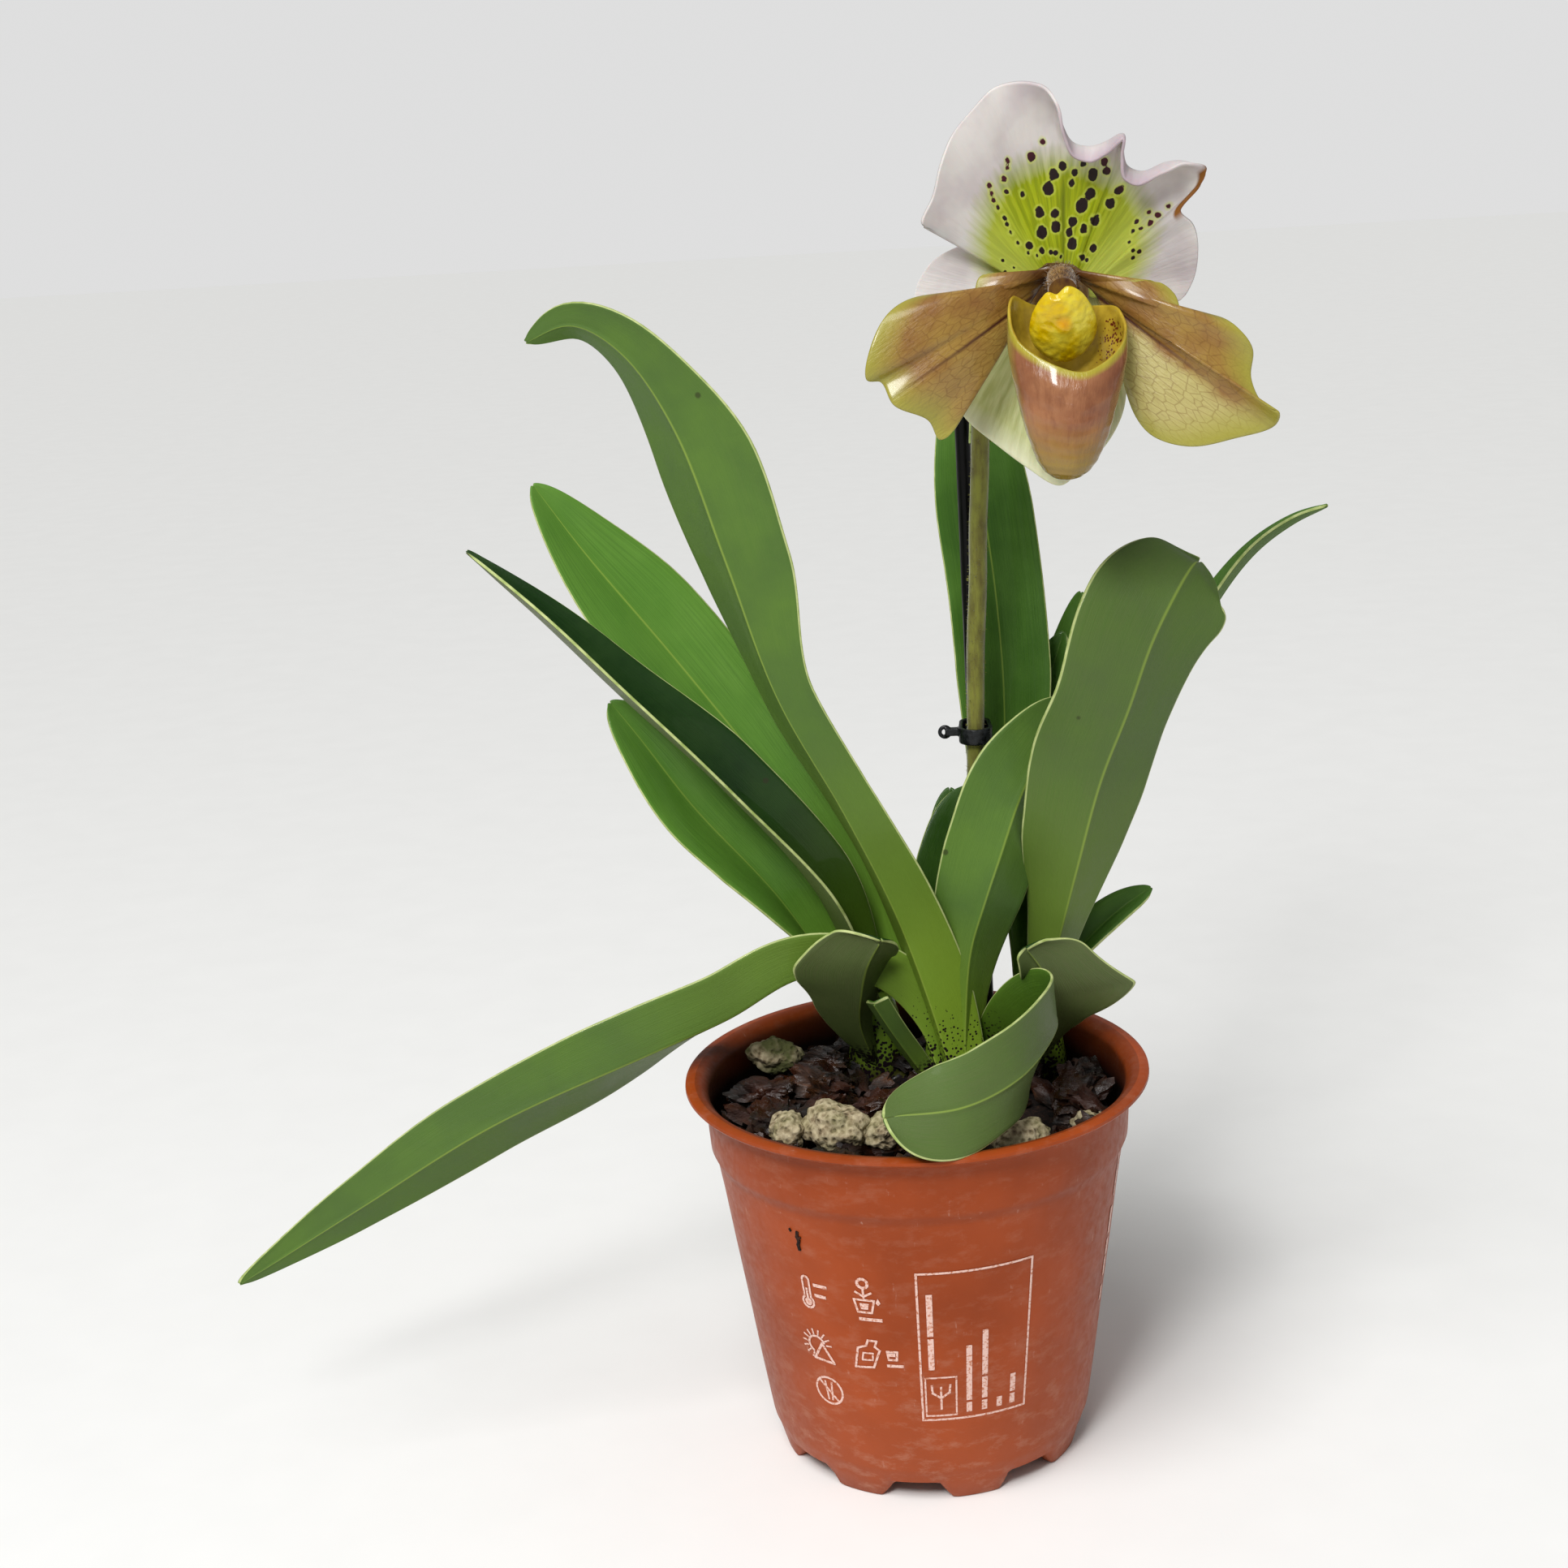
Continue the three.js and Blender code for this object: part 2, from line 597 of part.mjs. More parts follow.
const shadyLeaves = ['leaf_strap_left', 'leaf_behind_stem', 'leaf_back_short', 'leaf_back_narrow'];

function finish(kind, name) {
  const [colour, roughness] = finishes[kind];
  const shade = undersideLeaves.includes(name) ? lightGreen : darkGreen;
  const special = undersideLeaves.includes(name) || shadyLeaves.includes(name);
  return new THREE.MeshStandardMaterial({ color: special ? shade : colour, roughness, metalness: 0 });
}

// Assembly: each piece is cut clear of the finished ones that it meets, and keeps its largest part
const group = new THREE.Group();
const finished = [];

function near(one, other) {
  const [a, b] = [one.boundingBox(), other.boundingBox()];
  return [0, 1, 2].every((i) => a.min[i] < b.max[i] && b.min[i] < a.max[i]);
}

function largest(body) {
  return body.decompose().reduce((best, next) => (next.volume() > best.volume() ? next : best));
}

function addPiece(name, kind, make) {
  let body = make(0);
  for (const other of finished) {
    if (near(body, other)) body = body.subtract(other);
  }
  const mesh = new THREE.Mesh(geometryOf(largest(body)), finish(kind, name));
  mesh.name = name;
  group.add(mesh);
  finished.push(make(clearance));
}

addPiece('pot', 'pot', pot);
addPiece('crown', 'crown', crown);
addPiece('support_stick', 'support_stick', stick);
addPiece('flower_stem', 'flower_stem', tube(stemPath, stemRadius, 8));
addPiece('stem_clip', 'stem_clip', clip);
addPiece('ovary', 'ovary', tube(ovaryPath, ovaryRadius, 6));
addPiece('bract', 'bract', (grow) => leaf(bract, grow));
addPiece('pouch', 'pouch', pouch);
addPiece('column', 'column', column);
for (const [name, shape] of Object.entries(flowerSheets)) {
  const kind = name.startsWith('petal') ? 'petal' : name;
  addPiece(name, kind, (grow) => sheet(shape, grow));
}
for (const [name, shape] of Object.entries(leaves)) addPiece(name, 'leaf', (grow) => leaf(shape, grow));
pumiceStones.forEach((stone, i) => addPiece(`pumice_${i + 1}`, 'pumice', (grow) => lump(stone, i, 0.85, grow)));
barkChips.forEach((chip, i) => addPiece(`bark_chip_${i + 1}`, 'bark', (grow) => lump(chip, i, chipFlatness, grow)));
addPiece('growing_mix', 'growing_mix', growingMix);

const outline = new THREE.Box3().setFromObject(group);
const middle = outline.getCenter(new THREE.Vector3());
group.position.set(-middle.x, -middle.y, -outline.min.z);

export default group;
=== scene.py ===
# A slipper orchid in a nursery pot: four leafy growths and one staked flower in bark and pumice.
import math
import random

import bmesh
import bpy
from mathutils import Matrix, Vector, noise


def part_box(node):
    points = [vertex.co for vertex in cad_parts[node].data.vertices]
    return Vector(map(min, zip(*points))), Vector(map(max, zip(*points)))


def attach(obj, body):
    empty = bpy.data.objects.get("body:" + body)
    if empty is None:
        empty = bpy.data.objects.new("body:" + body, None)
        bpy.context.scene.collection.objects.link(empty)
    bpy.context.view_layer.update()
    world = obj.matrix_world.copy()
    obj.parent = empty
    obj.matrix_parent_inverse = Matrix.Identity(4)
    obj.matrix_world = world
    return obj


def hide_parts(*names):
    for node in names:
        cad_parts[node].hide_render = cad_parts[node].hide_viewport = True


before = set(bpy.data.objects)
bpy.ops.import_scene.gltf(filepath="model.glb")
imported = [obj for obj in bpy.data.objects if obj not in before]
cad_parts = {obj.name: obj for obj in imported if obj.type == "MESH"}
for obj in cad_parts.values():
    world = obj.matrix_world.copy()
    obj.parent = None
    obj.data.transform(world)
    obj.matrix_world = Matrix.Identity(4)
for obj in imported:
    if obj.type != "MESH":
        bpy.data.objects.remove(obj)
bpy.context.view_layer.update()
bpy.ops.object.select_all(action='DESELECT')
scene = bpy.context.scene
dice = random.Random(11)

mm = 0.001
rimRadius = 60
barkDepth = 12.3             # from the top of the rim down to the bark
potLow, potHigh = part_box("pot")
axis = Vector(((potLow.x + potHigh.x) / 2, (potLow.y + potHigh.y) / 2, 0))   # the pot's own axis
rimTop = potHigh.z
barkLevel = rimTop - barkDepth * mm
print("frame loaded, pot axis at", tuple(round(value, 4) for value in axis))


# Places: millimetres from the pot's axis, with the height counted from the bark
def planted(point):
    x, y, z = point
    return Vector((axis.x + x * mm, axis.y + y * mm, barkLevel + z * mm))


def overRim(reach, azimuth, height):
    angle = math.radians(azimuth)
    return (rimRadius + reach) * math.cos(angle), (rimRadius + reach) * math.sin(angle), barkDepth + height


# Smooth lines through a few points
def smoothLine(points, steps=80):
    spots = [Vector(point) for point in points]
    spots = [spots[0] * 2 - spots[1]] + spots + [spots[-1] * 2 - spots[-2]]
    line = []
    for i in range(1, len(spots) - 2):
        a, b, c, d = spots[i - 1:i + 3]
        gaps = [max((q - p).length, 1e-6) ** 0.5 for p, q in ((a, b), (b, c), (c, d))]
        start = ((b - a) / gaps[0] - (c - a) / (gaps[0] + gaps[1]) + (c - b) / gaps[1]) * gaps[1]
        end = ((c - b) / gaps[1] - (d - b) / (gaps[1] + gaps[2]) + (d - c) / gaps[2]) * gaps[1]
        for step in range(steps + (i == len(spots) - 3)):
            t = step / steps
            line.append(b * (2 * t**3 - 3 * t**2 + 1) + start * (t**3 - 2 * t**2 + t)
                        + c * (3 * t**2 - 2 * t**3) + end * (t**3 - t**2))
    return line


def readLine(line, share):
    at = min(max(share, 0), 1) * (len(line) - 1)
    low = min(int(at), len(line) - 2)
    return line[low].lerp(line[low + 1], at - low)


def evenLine(points, count=240):
    line = smoothLine(points)
    lengths = [0]
    for a, b in zip(line, line[1:]):
        lengths.append(lengths[-1] + (b - a).length)
    even, at = [], 0
    for i in range(count + 1):
        goal = lengths[-1] * i / count
        while at < len(line) - 2 and lengths[at + 1] < goal:
            at += 1
        gap = max(lengths[at + 1] - lengths[at], 1e-9)
        even.append(line[at].lerp(line[at + 1], (goal - lengths[at]) / gap))
    return even


def spaced(values, share):
    if len(values) == 1:
        return values[0]
    at = min(max(share, 0), 1) * (len(values) - 1)
    low = min(int(at), len(values) - 2)
    t = at - low
    t = t * t * (3 - 2 * t) * 0.5 + t * 0.5
    return values[low] + (values[low + 1] - values[low]) * t


def ease(low, high, value):
    t = min(max((value - low) / (high - low), 0), 1)
    return t * t * (3 - 2 * t)


# Materials
def paint(code):
    parts = [int(code[i:i + 2], 16) / 255 for i in (0, 2, 4)]
    return tuple(p / 12.92 if p < 0.04045 else ((p + 0.055) / 1.055) ** 2.4 for p in parts) + (1,)


def addNode(material, kind, inputs=None, **settings):
    tree = material.node_tree
    node = tree.nodes.new(kind)
    for key, value in settings.items():
        setattr(node, key, value)
    for key, value in (inputs or {}).items():
        if isinstance(value, bpy.types.NodeSocket):
            tree.links.new(value, node.inputs[key])
        else:
            node.inputs[key].default_value = value
    return node


def newMaterial(name, roughness=0.5, **sockets):
    material = bpy.data.materials.new(name)
    material.use_nodes = True
    shader = material.node_tree.nodes["Principled BSDF"]
    shader.inputs["Roughness"].default_value = roughness
    shader.inputs["Specular IOR Level"].default_value = 0.22
    for key, value in sockets.items():
        shader.inputs[key.replace("_", " ")].default_value = value
    return material


def place(material, scale=(1, 1, 1), uvMap=None):
    if uvMap:
        source = addNode(material, "ShaderNodeUVMap", uv_map=uvMap).outputs[0]
    else:
        source = addNode(material, "ShaderNodeTexCoord").outputs["Object"]
    return addNode(material, "ShaderNodeMapping", {"Vector": source, "Scale": scale}).outputs[0]


def mottle(material, vector, scale, detail=3, roughness=0.55):
    settings = {"Vector": vector, "Scale": scale, "Detail": detail, "Roughness": roughness}
    return addNode(material, "ShaderNodeTexNoise", settings).outputs["Fac"]


def stops(material, fac, *colours):
    node = addNode(material, "ShaderNodeValToRGB", {"Fac": fac})
    points = node.color_ramp.elements
    while len(points) < len(colours):
        points.new(0.5)
    for point, (position, colour) in zip(points, colours):
        point.position = position
        point.color = paint(colour) if isinstance(colour, str) else (colour, colour, colour, 1)
    return node.outputs["Color"]


def blend(material, fac, first, second):
    node = addNode(material, "ShaderNodeMix", data_type="RGBA")
    for socket, value in ((0, fac), (6, first), (7, second)):
        if isinstance(value, bpy.types.NodeSocket):
            material.node_tree.links.new(value, node.inputs[socket])
        else:
            node.inputs[socket].default_value = paint(value) if isinstance(value, str) else value
    return node.outputs[2]


def calc(material, operation, first, second=0.0, third=0.0):
    node = addNode(material, "ShaderNodeMath", operation=operation)
    for i, value in enumerate((first, second, third)):
        if isinstance(value, bpy.types.NodeSocket):
            material.node_tree.links.new(value, node.inputs[i])
        else:
            node.inputs[i].default_value = value
    return node.outputs[0]


def plus(material, first, second):
    return calc(material, "ADD", first, second)


def minus(material, first, second):
    return calc(material, "SUBTRACT", first, second)


def times(material, first, second):
    return calc(material, "MULTIPLY", first, second)


def speckle(material, spots, scale):
    cells = addNode(material, "ShaderNodeTexVoronoi", {"Vector": spots, "Scale": scale})
    return cells.outputs["Distance"]


def within(material, value, middle, width, softness):       # 1 near the middle, 0 away from it
    away = calc(material, "ABSOLUTE", minus(material, value, middle))
    inside = calc(material, "DIVIDE", minus(material, width + softness, away), softness)
    return calc(material, "SMOOTH_MIN", calc(material, "MAXIMUM", inside, 0.0), 1.0, 0.001)


def attribute(material, name):
    return addNode(material, "ShaderNodeAttribute", attribute_name=name).outputs["Fac"]


def spread(material, uvMap):
    vector = addNode(material, "ShaderNodeUVMap", uv_map=uvMap).outputs[0]
    parts = addNode(material, "ShaderNodeSeparateXYZ", {"Vector": vector})
    return parts.outputs[0], parts.outputs[1]


def wire(material, colour=None, roughness=None, height=None, strength=0.3, distance=0.0005):
    shader = material.node_tree.nodes["Principled BSDF"]
    if colour is not None:
        settings = {"Color": colour, "Saturation": 1.04, "Value": 0.93}
        richer = addNode(material, "ShaderNodeHueSaturation", settings)
        material.node_tree.links.new(richer.outputs[0], shader.inputs["Base Color"])
    if roughness is not None:
        material.node_tree.links.new(roughness, shader.inputs["Roughness"])
    if height is not None:
        settings = {"Height": height, "Strength": strength, "Distance": distance}
        bumps = addNode(material, "ShaderNodeBump", settings).outputs[0]
        material.node_tree.links.new(bumps, shader.inputs["Normal"])
    return material


# Making pieces
def pieceName(node):
    first, *others = node.split("_")
    return first + "".join(word.capitalize() for word in others)


def deselect():
    if bpy.context.mode != 'OBJECT':
        bpy.ops.object.mode_set(mode='OBJECT')
    bpy.ops.object.select_all(action='DESELECT')


def pick(piece):
    deselect()
    piece.select_set(True)
    bpy.context.view_layer.objects.active = piece


def applyAll(piece):
    pick(piece)
    for modifier in list(piece.modifiers):
        bpy.ops.object.modifier_apply(modifier=modifier.name)


def subdivide(piece):
    modifier = piece.modifiers.new("smooth", 'SUBSURF')
    modifier.levels = modifier.render_levels = 1
    applyAll(piece)


def settle(piece):
    pick(piece)
    bpy.ops.object.transform_apply(location=True, rotation=True, scale=True)


def hand(piece, name, slotName, *nodes, materials=(), smooth=180):
    settle(piece)
    piece.name = name
    piece.data.name = name
    for material in materials:
        piece.data.materials.append(material)
    bpy.ops.object.shade_smooth_by_angle(angle=math.radians(smooth))
    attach(piece, "root")
    if nodes:
        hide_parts(*nodes)
    return piece


def join(pieces):
    deselect()
    for piece in pieces:
        piece.select_set(True)
    bpy.context.view_layer.objects.active = pieces[0]
    bpy.ops.object.join()
    return pieces[0]


# A ring is drawn out into a turned shell, ring by ring, in (radius, height) millimetres
def turn(profile, sides, middle=axis, base=0.0):
    deselect()
    radius, height = profile[0]
    spot = (middle.x, middle.y, base + height * mm)
    bpy.ops.mesh.primitive_circle_add(vertices=sides, radius=radius * mm, location=spot)
    piece = bpy.context.object
    bpy.ops.object.mode_set(mode='EDIT')
    bpy.ops.mesh.select_all(action='SELECT')
    for newRadius, newHeight in profile[1:]:
        bpy.ops.mesh.extrude_region_move(TRANSFORM_OT_translate={"value": (0, 0, (newHeight - height) * mm)})
        scale = newRadius / radius
        bpy.ops.transform.resize(value=(scale, scale, 1))
        radius, height = newRadius, newHeight
    bpy.ops.mesh.select_all(action='DESELECT')
    bpy.ops.mesh.select_non_manifold()
    bpy.ops.mesh.fill_holes(sides=0)
    bpy.ops.mesh.select_all(action='SELECT')
    bpy.ops.mesh.normals_make_consistent(inside=False)
    bpy.ops.object.mode_set(mode='OBJECT')
    settle(piece)
    return piece


def bentGrid(columns, rows):
    deselect()
    bpy.ops.mesh.primitive_grid_add(x_subdivisions=columns, y_subdivisions=rows, size=2)
    piece = bpy.context.object
    piece.data.uv_layers[0].name = "spread"
    return piece


def thicken(piece, thickness, back=0, rim=0, offset=0.0):
    modifier = piece.modifiers.new("thickness", 'SOLIDIFY')
    modifier.thickness = thickness
    modifier.offset = offset
    modifier.use_even_offset = False
    modifier.material_offset = back
    modifier.material_offset_rim = rim
    applyAll(piece)


def makeWhole(piece, fineness):                             # one skin round parts that run into each other
    whole = piece.modifiers.new("one", 'REMESH')
    whole.mode = 'VOXEL'
    whole.voxel_size = fineness * mm


def tube(points, radius, sides=3):
    deselect()
    bpy.ops.curve.primitive_bezier_curve_add(location=(0, 0, 0))
    piece = bpy.context.object
    line = evenLine([planted(point) for point in points], 24)
    piece.data.splines.clear()
    spline = piece.data.splines.new('POLY')
    spline.points.add(len(line) - 1)
    for spot, point in zip(spline.points, line):
        spot.co = (*point, 1)
    piece.data.dimensions = '3D'
    piece.data.bevel_depth = radius * mm
    piece.data.bevel_resolution = sides
    piece.data.use_fill_caps = True
    pick(piece)
    bpy.ops.object.convert(target='MESH')
    return bpy.context.object


# Pot: thin moulded plastic with a rolled lip, a collar and a scalloped foot
potShape = {
    "sides": 160,
    "wall": ((10, 42.35), (81.6, 52.6)),     # height and radius at the wall's foot and at its ridge
    "sway": 0.25,
    "feet": 8,
    "footTurn": 16,          # degrees from the front
    "gapHalf": 7.0,          # half of a gap between feet, in degrees
    "gapSlope": 7.5,
    "gapRise": 4.6,
    "drainRadius": 4,
    "drainPlace": 30.4,
    "drainDepth": 12,
    "collarHeight": 83.5,
    "damp": (89.5, 11.5),    # where the painted shade above the bark starts and how far up it fades
    "colour": "a94f2b",
    "deepColour": "8d3f20",
    "dust": "c79a84",
    # near-black colour of the painted shade inside the wall
    "stain": "0d0604",
}


def potPlastic(inside=False):
    material = newMaterial("potInside" if inside else "potPlastic", 0.42)
    spots = place(material)
    cloud = mottle(material, spots, 28, 4)
    fine = mottle(material, spots, 420, 4)
    colour = blend(material, stops(material, cloud, (0.3, 0.0), (0.75, 1.0)), potShape["deepColour"],
                   potShape["colour"])
    height = addNode(material, "ShaderNodeSeparateXYZ", {"Vector": spots}).outputs[2]
    lowDust = stops(material, times(material, height, 9.0), (0.0, 0.3), (0.14, 0.16), (0.45, 0.0))
    # painted shade in the step under the collar: a darker band at the collar's height
    ledgeShade = within(material, height, potShape["collarHeight"] * mm, 0.6 * mm, 1.6 * mm)
    dusty = mottle(material, place(material, (1, 1, 2.2)), 120, 6, 0.7)
    dusty = stops(material, dusty, (0.5, 0.0), (0.68, 1.0))
    amount = times(material, dusty, plus(material, lowDust, 0.12))
    amount = plus(material, amount, times(material, lowDust, 0.25))
    colour = blend(material, amount, colour, potShape["dust"])
    colour = blend(material, times(material, ledgeShade, 0.35), colour, "83391c")
    scratches = mottle(material, place(material, (1, 1, 0.12)), 900, 2)
    scratches = stops(material, scratches, (0.66, 0.0), (0.72, 0.35))
    colour = blend(material, times(material, scratches, dusty), colour, "d8b3a2")
    if inside:                                              # painted shade on the inner wall, darkest down at the bark
        low, over = potShape["damp"]
        damp = calc(material, "DIVIDE", minus(material, height, low * mm), over * mm)
        damp = plus(material, damp, times(material, minus(material, cloud, 0.5), 0.5))
        innerShadeAmount = stops(material, damp, (0.2, 1.0), (0.85, 0.75), (1.0, 0.35))
        colour = blend(material, innerShadeAmount, colour, potShape["stain"])
    rough = stops(material, plus(material, fine, times(material, amount, 0.5)), (0.35, 0.36), (0.9, 0.62))
    return wire(material, colour, rough, plus(material, fine, times(material, cloud, 2.0)), 0.12, 0.0004)


def wallRadius(height):
    (low, lowRadius), (high, highRadius) = potShape["wall"]
    return lowRadius + (highRadius - lowRadius) * (height - low) / (high - low)


def wallSway(side):                                         # thin plastic is never quite round
    return potShape["sway"] * math.sin(2 * math.atan2(side.y, side.x) + 0.7) * ease(0, 90, side.z / mm)


def makePot():
    profile = [
        (5, 6), (34, 6), (36.2, 5.8), (36.4, 5.0), (36.4, 0.3), (36.7, 0), (38.5, 0), (38.9, 0.3),
        (40.9, 5.6), (41.6, 7.8), (42.1, 8.9), (42.35, 10), (44.6, 25), (46.9, 42), (49.2, 58), (51.4, 74),
        (52.6, 81.6), (52.95, 82.9), (53.6, 84.2), (54.1, 85.4), (54.4, 90), (54.75, 96), (55.0, 99.2),
        (55.4, 100.1), (56.2, 100.4), (58.6, 100.4), (59.5, 100.6), (60, 101.2), (59.9, 101.9), (59.2, 102.3),
        (57.5, 102.3), (56.3, 102.1), (55.5, 101.4), (54.3, 100), (53.7, 98.8), (53.3, 92), (52.7, 85.6),
        (52.2, 84.2), (51.5, 82.6), (49.9, 72), (46.3, 46), (43.4, 25), (40.8, 9.6), (39.4, 7.8), (36, 7.3),
        (5, 7.3),
    ]
    pot = turn(profile, potShape["sides"])
    pitch = 360 / potShape["feet"]
    for vertex in pot.data.vertices:
        side = vertex.co - axis
        angle = math.degrees(math.atan2(side.y, side.x)) + 90 - potShape["footTurn"] - pitch / 2
        away = abs((angle + pitch / 2) % pitch - pitch / 2)
        gap = 1 - ease(potShape["gapHalf"], potShape["gapHalf"] + potShape["gapSlope"], away)
        low = 1 - ease(0, 5.6, side.z / mm)
        vertex.co.z += gap * low * potShape["gapRise"] * mm
        outer = side.to_2d().length
        if outer > 37 * mm and side.z < 9 * mm:            # each foot leans out a little
            vertex.co.xy += side.to_2d() / outer * (1 - gap) * 0.5 * mm * low
        if side.z < 99 * mm:
            vertex.co.xy += side.to_2d().normalized() * wallSway(side) * mm
    drills = []
    for i in range(potShape["feet"]):
        turnBy = math.radians(-90 + potShape["footTurn"] + (i + 0.5) * pitch)
        spot = axis + Vector((math.cos(turnBy), math.sin(turnBy), 0)) * potShape["drainPlace"] * mm
        deselect()
        bpy.ops.mesh.primitive_cylinder_add(vertices=32, radius=potShape["drainRadius"] * mm,
                                            depth=potShape["drainDepth"] * mm,
                                            location=(spot.x, spot.y, 6.6 * mm))
        drills.append(bpy.context.object)
    drill = join(drills)
    cut = pot.modifiers.new("drains", 'BOOLEAN')
    cut.object = drill
    cut.solver = 'EXACT'
    applyAll(pot)
    bpy.data.objects.remove(drill)
    pot.data.materials.append(potPlastic())
    pot.data.materials.append(potPlastic(True))
    for face in pot.data.polygons:
        side = face.center - axis
        if side.to_2d().dot(face.normal.to_2d()) < 0 and side.z > 10 * mm:
            face.material_index = 1
    return hand(pot, "pot", "pot", "pot", smooth=40)


makePot()
print("pot done")

# Prints: plain care pictures, a frame and bars, wrapped round the wall
printShape = {
    "stroke": 0.56,
    "raise": 0.12,
    "thickness": 0.05,
    "smearThickness": 0.3,
    "colour": "eac6ba",
    "label": (14.5, 47, 28.5, 43),      # degrees from the front, height, width and height in millimetres
}


def strokePath(mesh, points, width, closed=False):
    spots = [Vector(point) for point in points]
    pairs = list(zip(spots, spots[1:] + spots[:1])) if closed else list(zip(spots, spots[1:]))
    for a, b in pairs:
        along = (b - a).normalized()
        side = Vector((-along.y, along.x)) * width / 2
        start, end = a - along * width * 0.4, b + along * width * 0.4
        cuts = max(1, round((b - a).length / 2.5))
        rails = [(mesh.verts.new((*(start.lerp(end, i / cuts) + side), 0)),
                  mesh.verts.new((*(start.lerp(end, i / cuts) - side), 0))) for i in range(cuts + 1)]
        for (p, q), (r, s) in zip(rails, rails[1:]):
            mesh.faces.new((p, q, s, r))


def patch(mesh, points):
    mesh.faces.new([mesh.verts.new((x, y, 0)) for x, y in points])


def ringOf(x, y, radius, count=20, start=0.0, sweep=360.0):
    steps = count if sweep == 360 else count - 1
    return [(x + radius * math.cos(math.radians(start + sweep * i / steps)),
             y + radius * math.sin(math.radians(start + sweep * i / steps))) for i in range(count)]


def bar(mesh, x, y, length, height, upright=False):
    if upright:
        strokePath(mesh, [(x, y), (x, y + length)], height)
    else:
        strokePath(mesh, [(x, y), (x + length, y)], height)


def wrapOn(mesh, azimuth, height):
    for vertex in mesh.verts:
        z = height + vertex.co.y
        angle = math.radians(azimuth - 90) + vertex.co.x / wallRadius(height)
        side = Vector((math.cos(angle), math.sin(angle), z * mm))
        radius = wallRadius(z) + wallSway(side) + printShape["raise"]
        vertex.co = axis + Vector((radius * side.x, radius * side.y, z)) * mm


def drawThermometer(mesh, stroke):
    strokePath(mesh, ringOf(0, 3.6, 1.0, 8, 180, -180) + ringOf(0, -2.8, 1.7, 12, 55, -290), stroke, True)
    patch(mesh, ringOf(0, -2.8, 1.1, 14))
    patch(mesh, [(-0.3, -2.4), (0.3, -2.4), (0.3, 1.2), (-0.3, 1.2)])
    bar(mesh, 2.6, 2.6, 3.2, 0.9)
    bar(mesh, 2.6, -0.4, 2.6, 0.9)


def drawWatering(mesh, stroke):
    strokePath(mesh, ringOf(0, 4.2, 1.3, 14), stroke * 1.3, True)
    strokePath(mesh, [(0, 2.9), (0, -0.6)], stroke)
    strokePath(mesh, [(-2, 1.6), (0, 0.4), (2, 1.6)], stroke)
    strokePath(mesh, [(-2.6, -0.6), (2.6, -0.6), (1.8, -4.2), (-1.8, -4.2)], stroke, True)
    patch(mesh, [(-1.2, -1.6), (1.2, -1.6), (0.9, -3.3), (-0.9, -3.3)])
    patch(mesh, [(3.6, 0.2), (3.0, -1.2), (3.6, -1.9), (4.2, -1.2)])
    bar(mesh, -1.4, -6.2, 5.4, 0.9)


def drawShade(mesh, stroke):
    strokePath(mesh, ringOf(0, 0, 2.4, 16, 20, 220), stroke)
    for i in range(11):
        angle = math.radians(5 + i * 24)
        strokePath(mesh, [(3.0 * math.cos(angle), 3.0 * math.sin(angle)),
                          (4.3 * math.cos(angle), 4.3 * math.sin(angle))], stroke * 0.8)
    strokePath(mesh, [(-1.2, -4.2), (1.6, 0.6), (4.6, -4.6)], stroke * 1.2, True)


def drawFeeding(mesh, stroke):
    outline = [(-2.6, -4.3), (2.2, -3.8), (2.8, 1.3), (1.4, 2.3), (1.5, 4.0), (-0.7, 4.1), (-0.9, 2.5),
               (-2.9, 1.5)]
    strokePath(mesh, [(x + 0.25 * y, y) for x, y in outline], stroke, True)
    strokePath(mesh, [(-1.6, -1.9), (1.1, -1.7), (1.3, 0.3), (-1.2, 0.2)], stroke * 0.8, True)


def drawCup(mesh, stroke):
    strokePath(mesh, [(-1.2, 1.2), (-0.9, -1.2), (1.1, -1.2), (1.3, 1.2)], stroke, True)
    patch(mesh, [(-0.8, -0.2), (0.8, -0.2), (0.8, 0.8), (-0.8, 0.8)])
    bar(mesh, -1.2, -3.0, 3.6, 0.8)


def drawCrossed(mesh, stroke):
    strokePath(mesh, ringOf(0, 0, 3.9, 28), stroke, True)
    strokePath(mesh, [(-0.9, 2.6), (-0.5, -2.6)], stroke * 0.9)
    strokePath(mesh, [(1.0, 2.6), (0.7, -2.6)], stroke * 0.9)
    strokePath(mesh, [(-2.6, 2.8), (2.6, -2.8)], stroke)


def drawLabel(mesh, stroke):
    wide, high = printShape["label"][2] / 2, printShape["label"][3] / 2
    strokePath(mesh, [(-wide, -high), (wide, -high), (wide, high), (-wide, high)], stroke, True)
    strokePath(mesh, [(-wide + 1, -high + 1.2), (-wide + 9, -high + 1.2), (-wide + 9, -high + 12.5),
                      (-wide + 1, -high + 12.5)], stroke * 0.8, True)
    strokePath(mesh, [(-wide + 5, -high + 3.2), (-wide + 5, -high + 9.6)], stroke)
    for side in (-1, 1):                                    # a sprout in the small box
        strokePath(mesh, [(-wide + 5, -high + 6.4), (-wide + 5 + side * 2.2, -high + 8.0),
                          (-wide + 5 + side * 2.4, -high + 10.2)], stroke)
    for column, start, lengths in ((2.8, 15.5, (8, 11)), (12.4, 2.2, (1.6, 15)), (16.6, 2.2, (1.6, 5, 12)),
                                   (20.8, 2.2, (1.6,)), (24.6, 2.2, (1.6, 4))):
        y = -high + start
        for length in lengths:
            bar(mesh, -wide + column, y, length, 1.5, upright=True)
            y += length + 1.9


def addWrapped(mesh, part, azimuth, height):                # a flat drawing, wrapped and put with the others
    wrapOn(part, azimuth, height)
    data = bpy.data.meshes.new("drawing")
    part.to_mesh(data)
    mesh.from_mesh(data)
    part.free()
    bpy.data.meshes.remove(data)


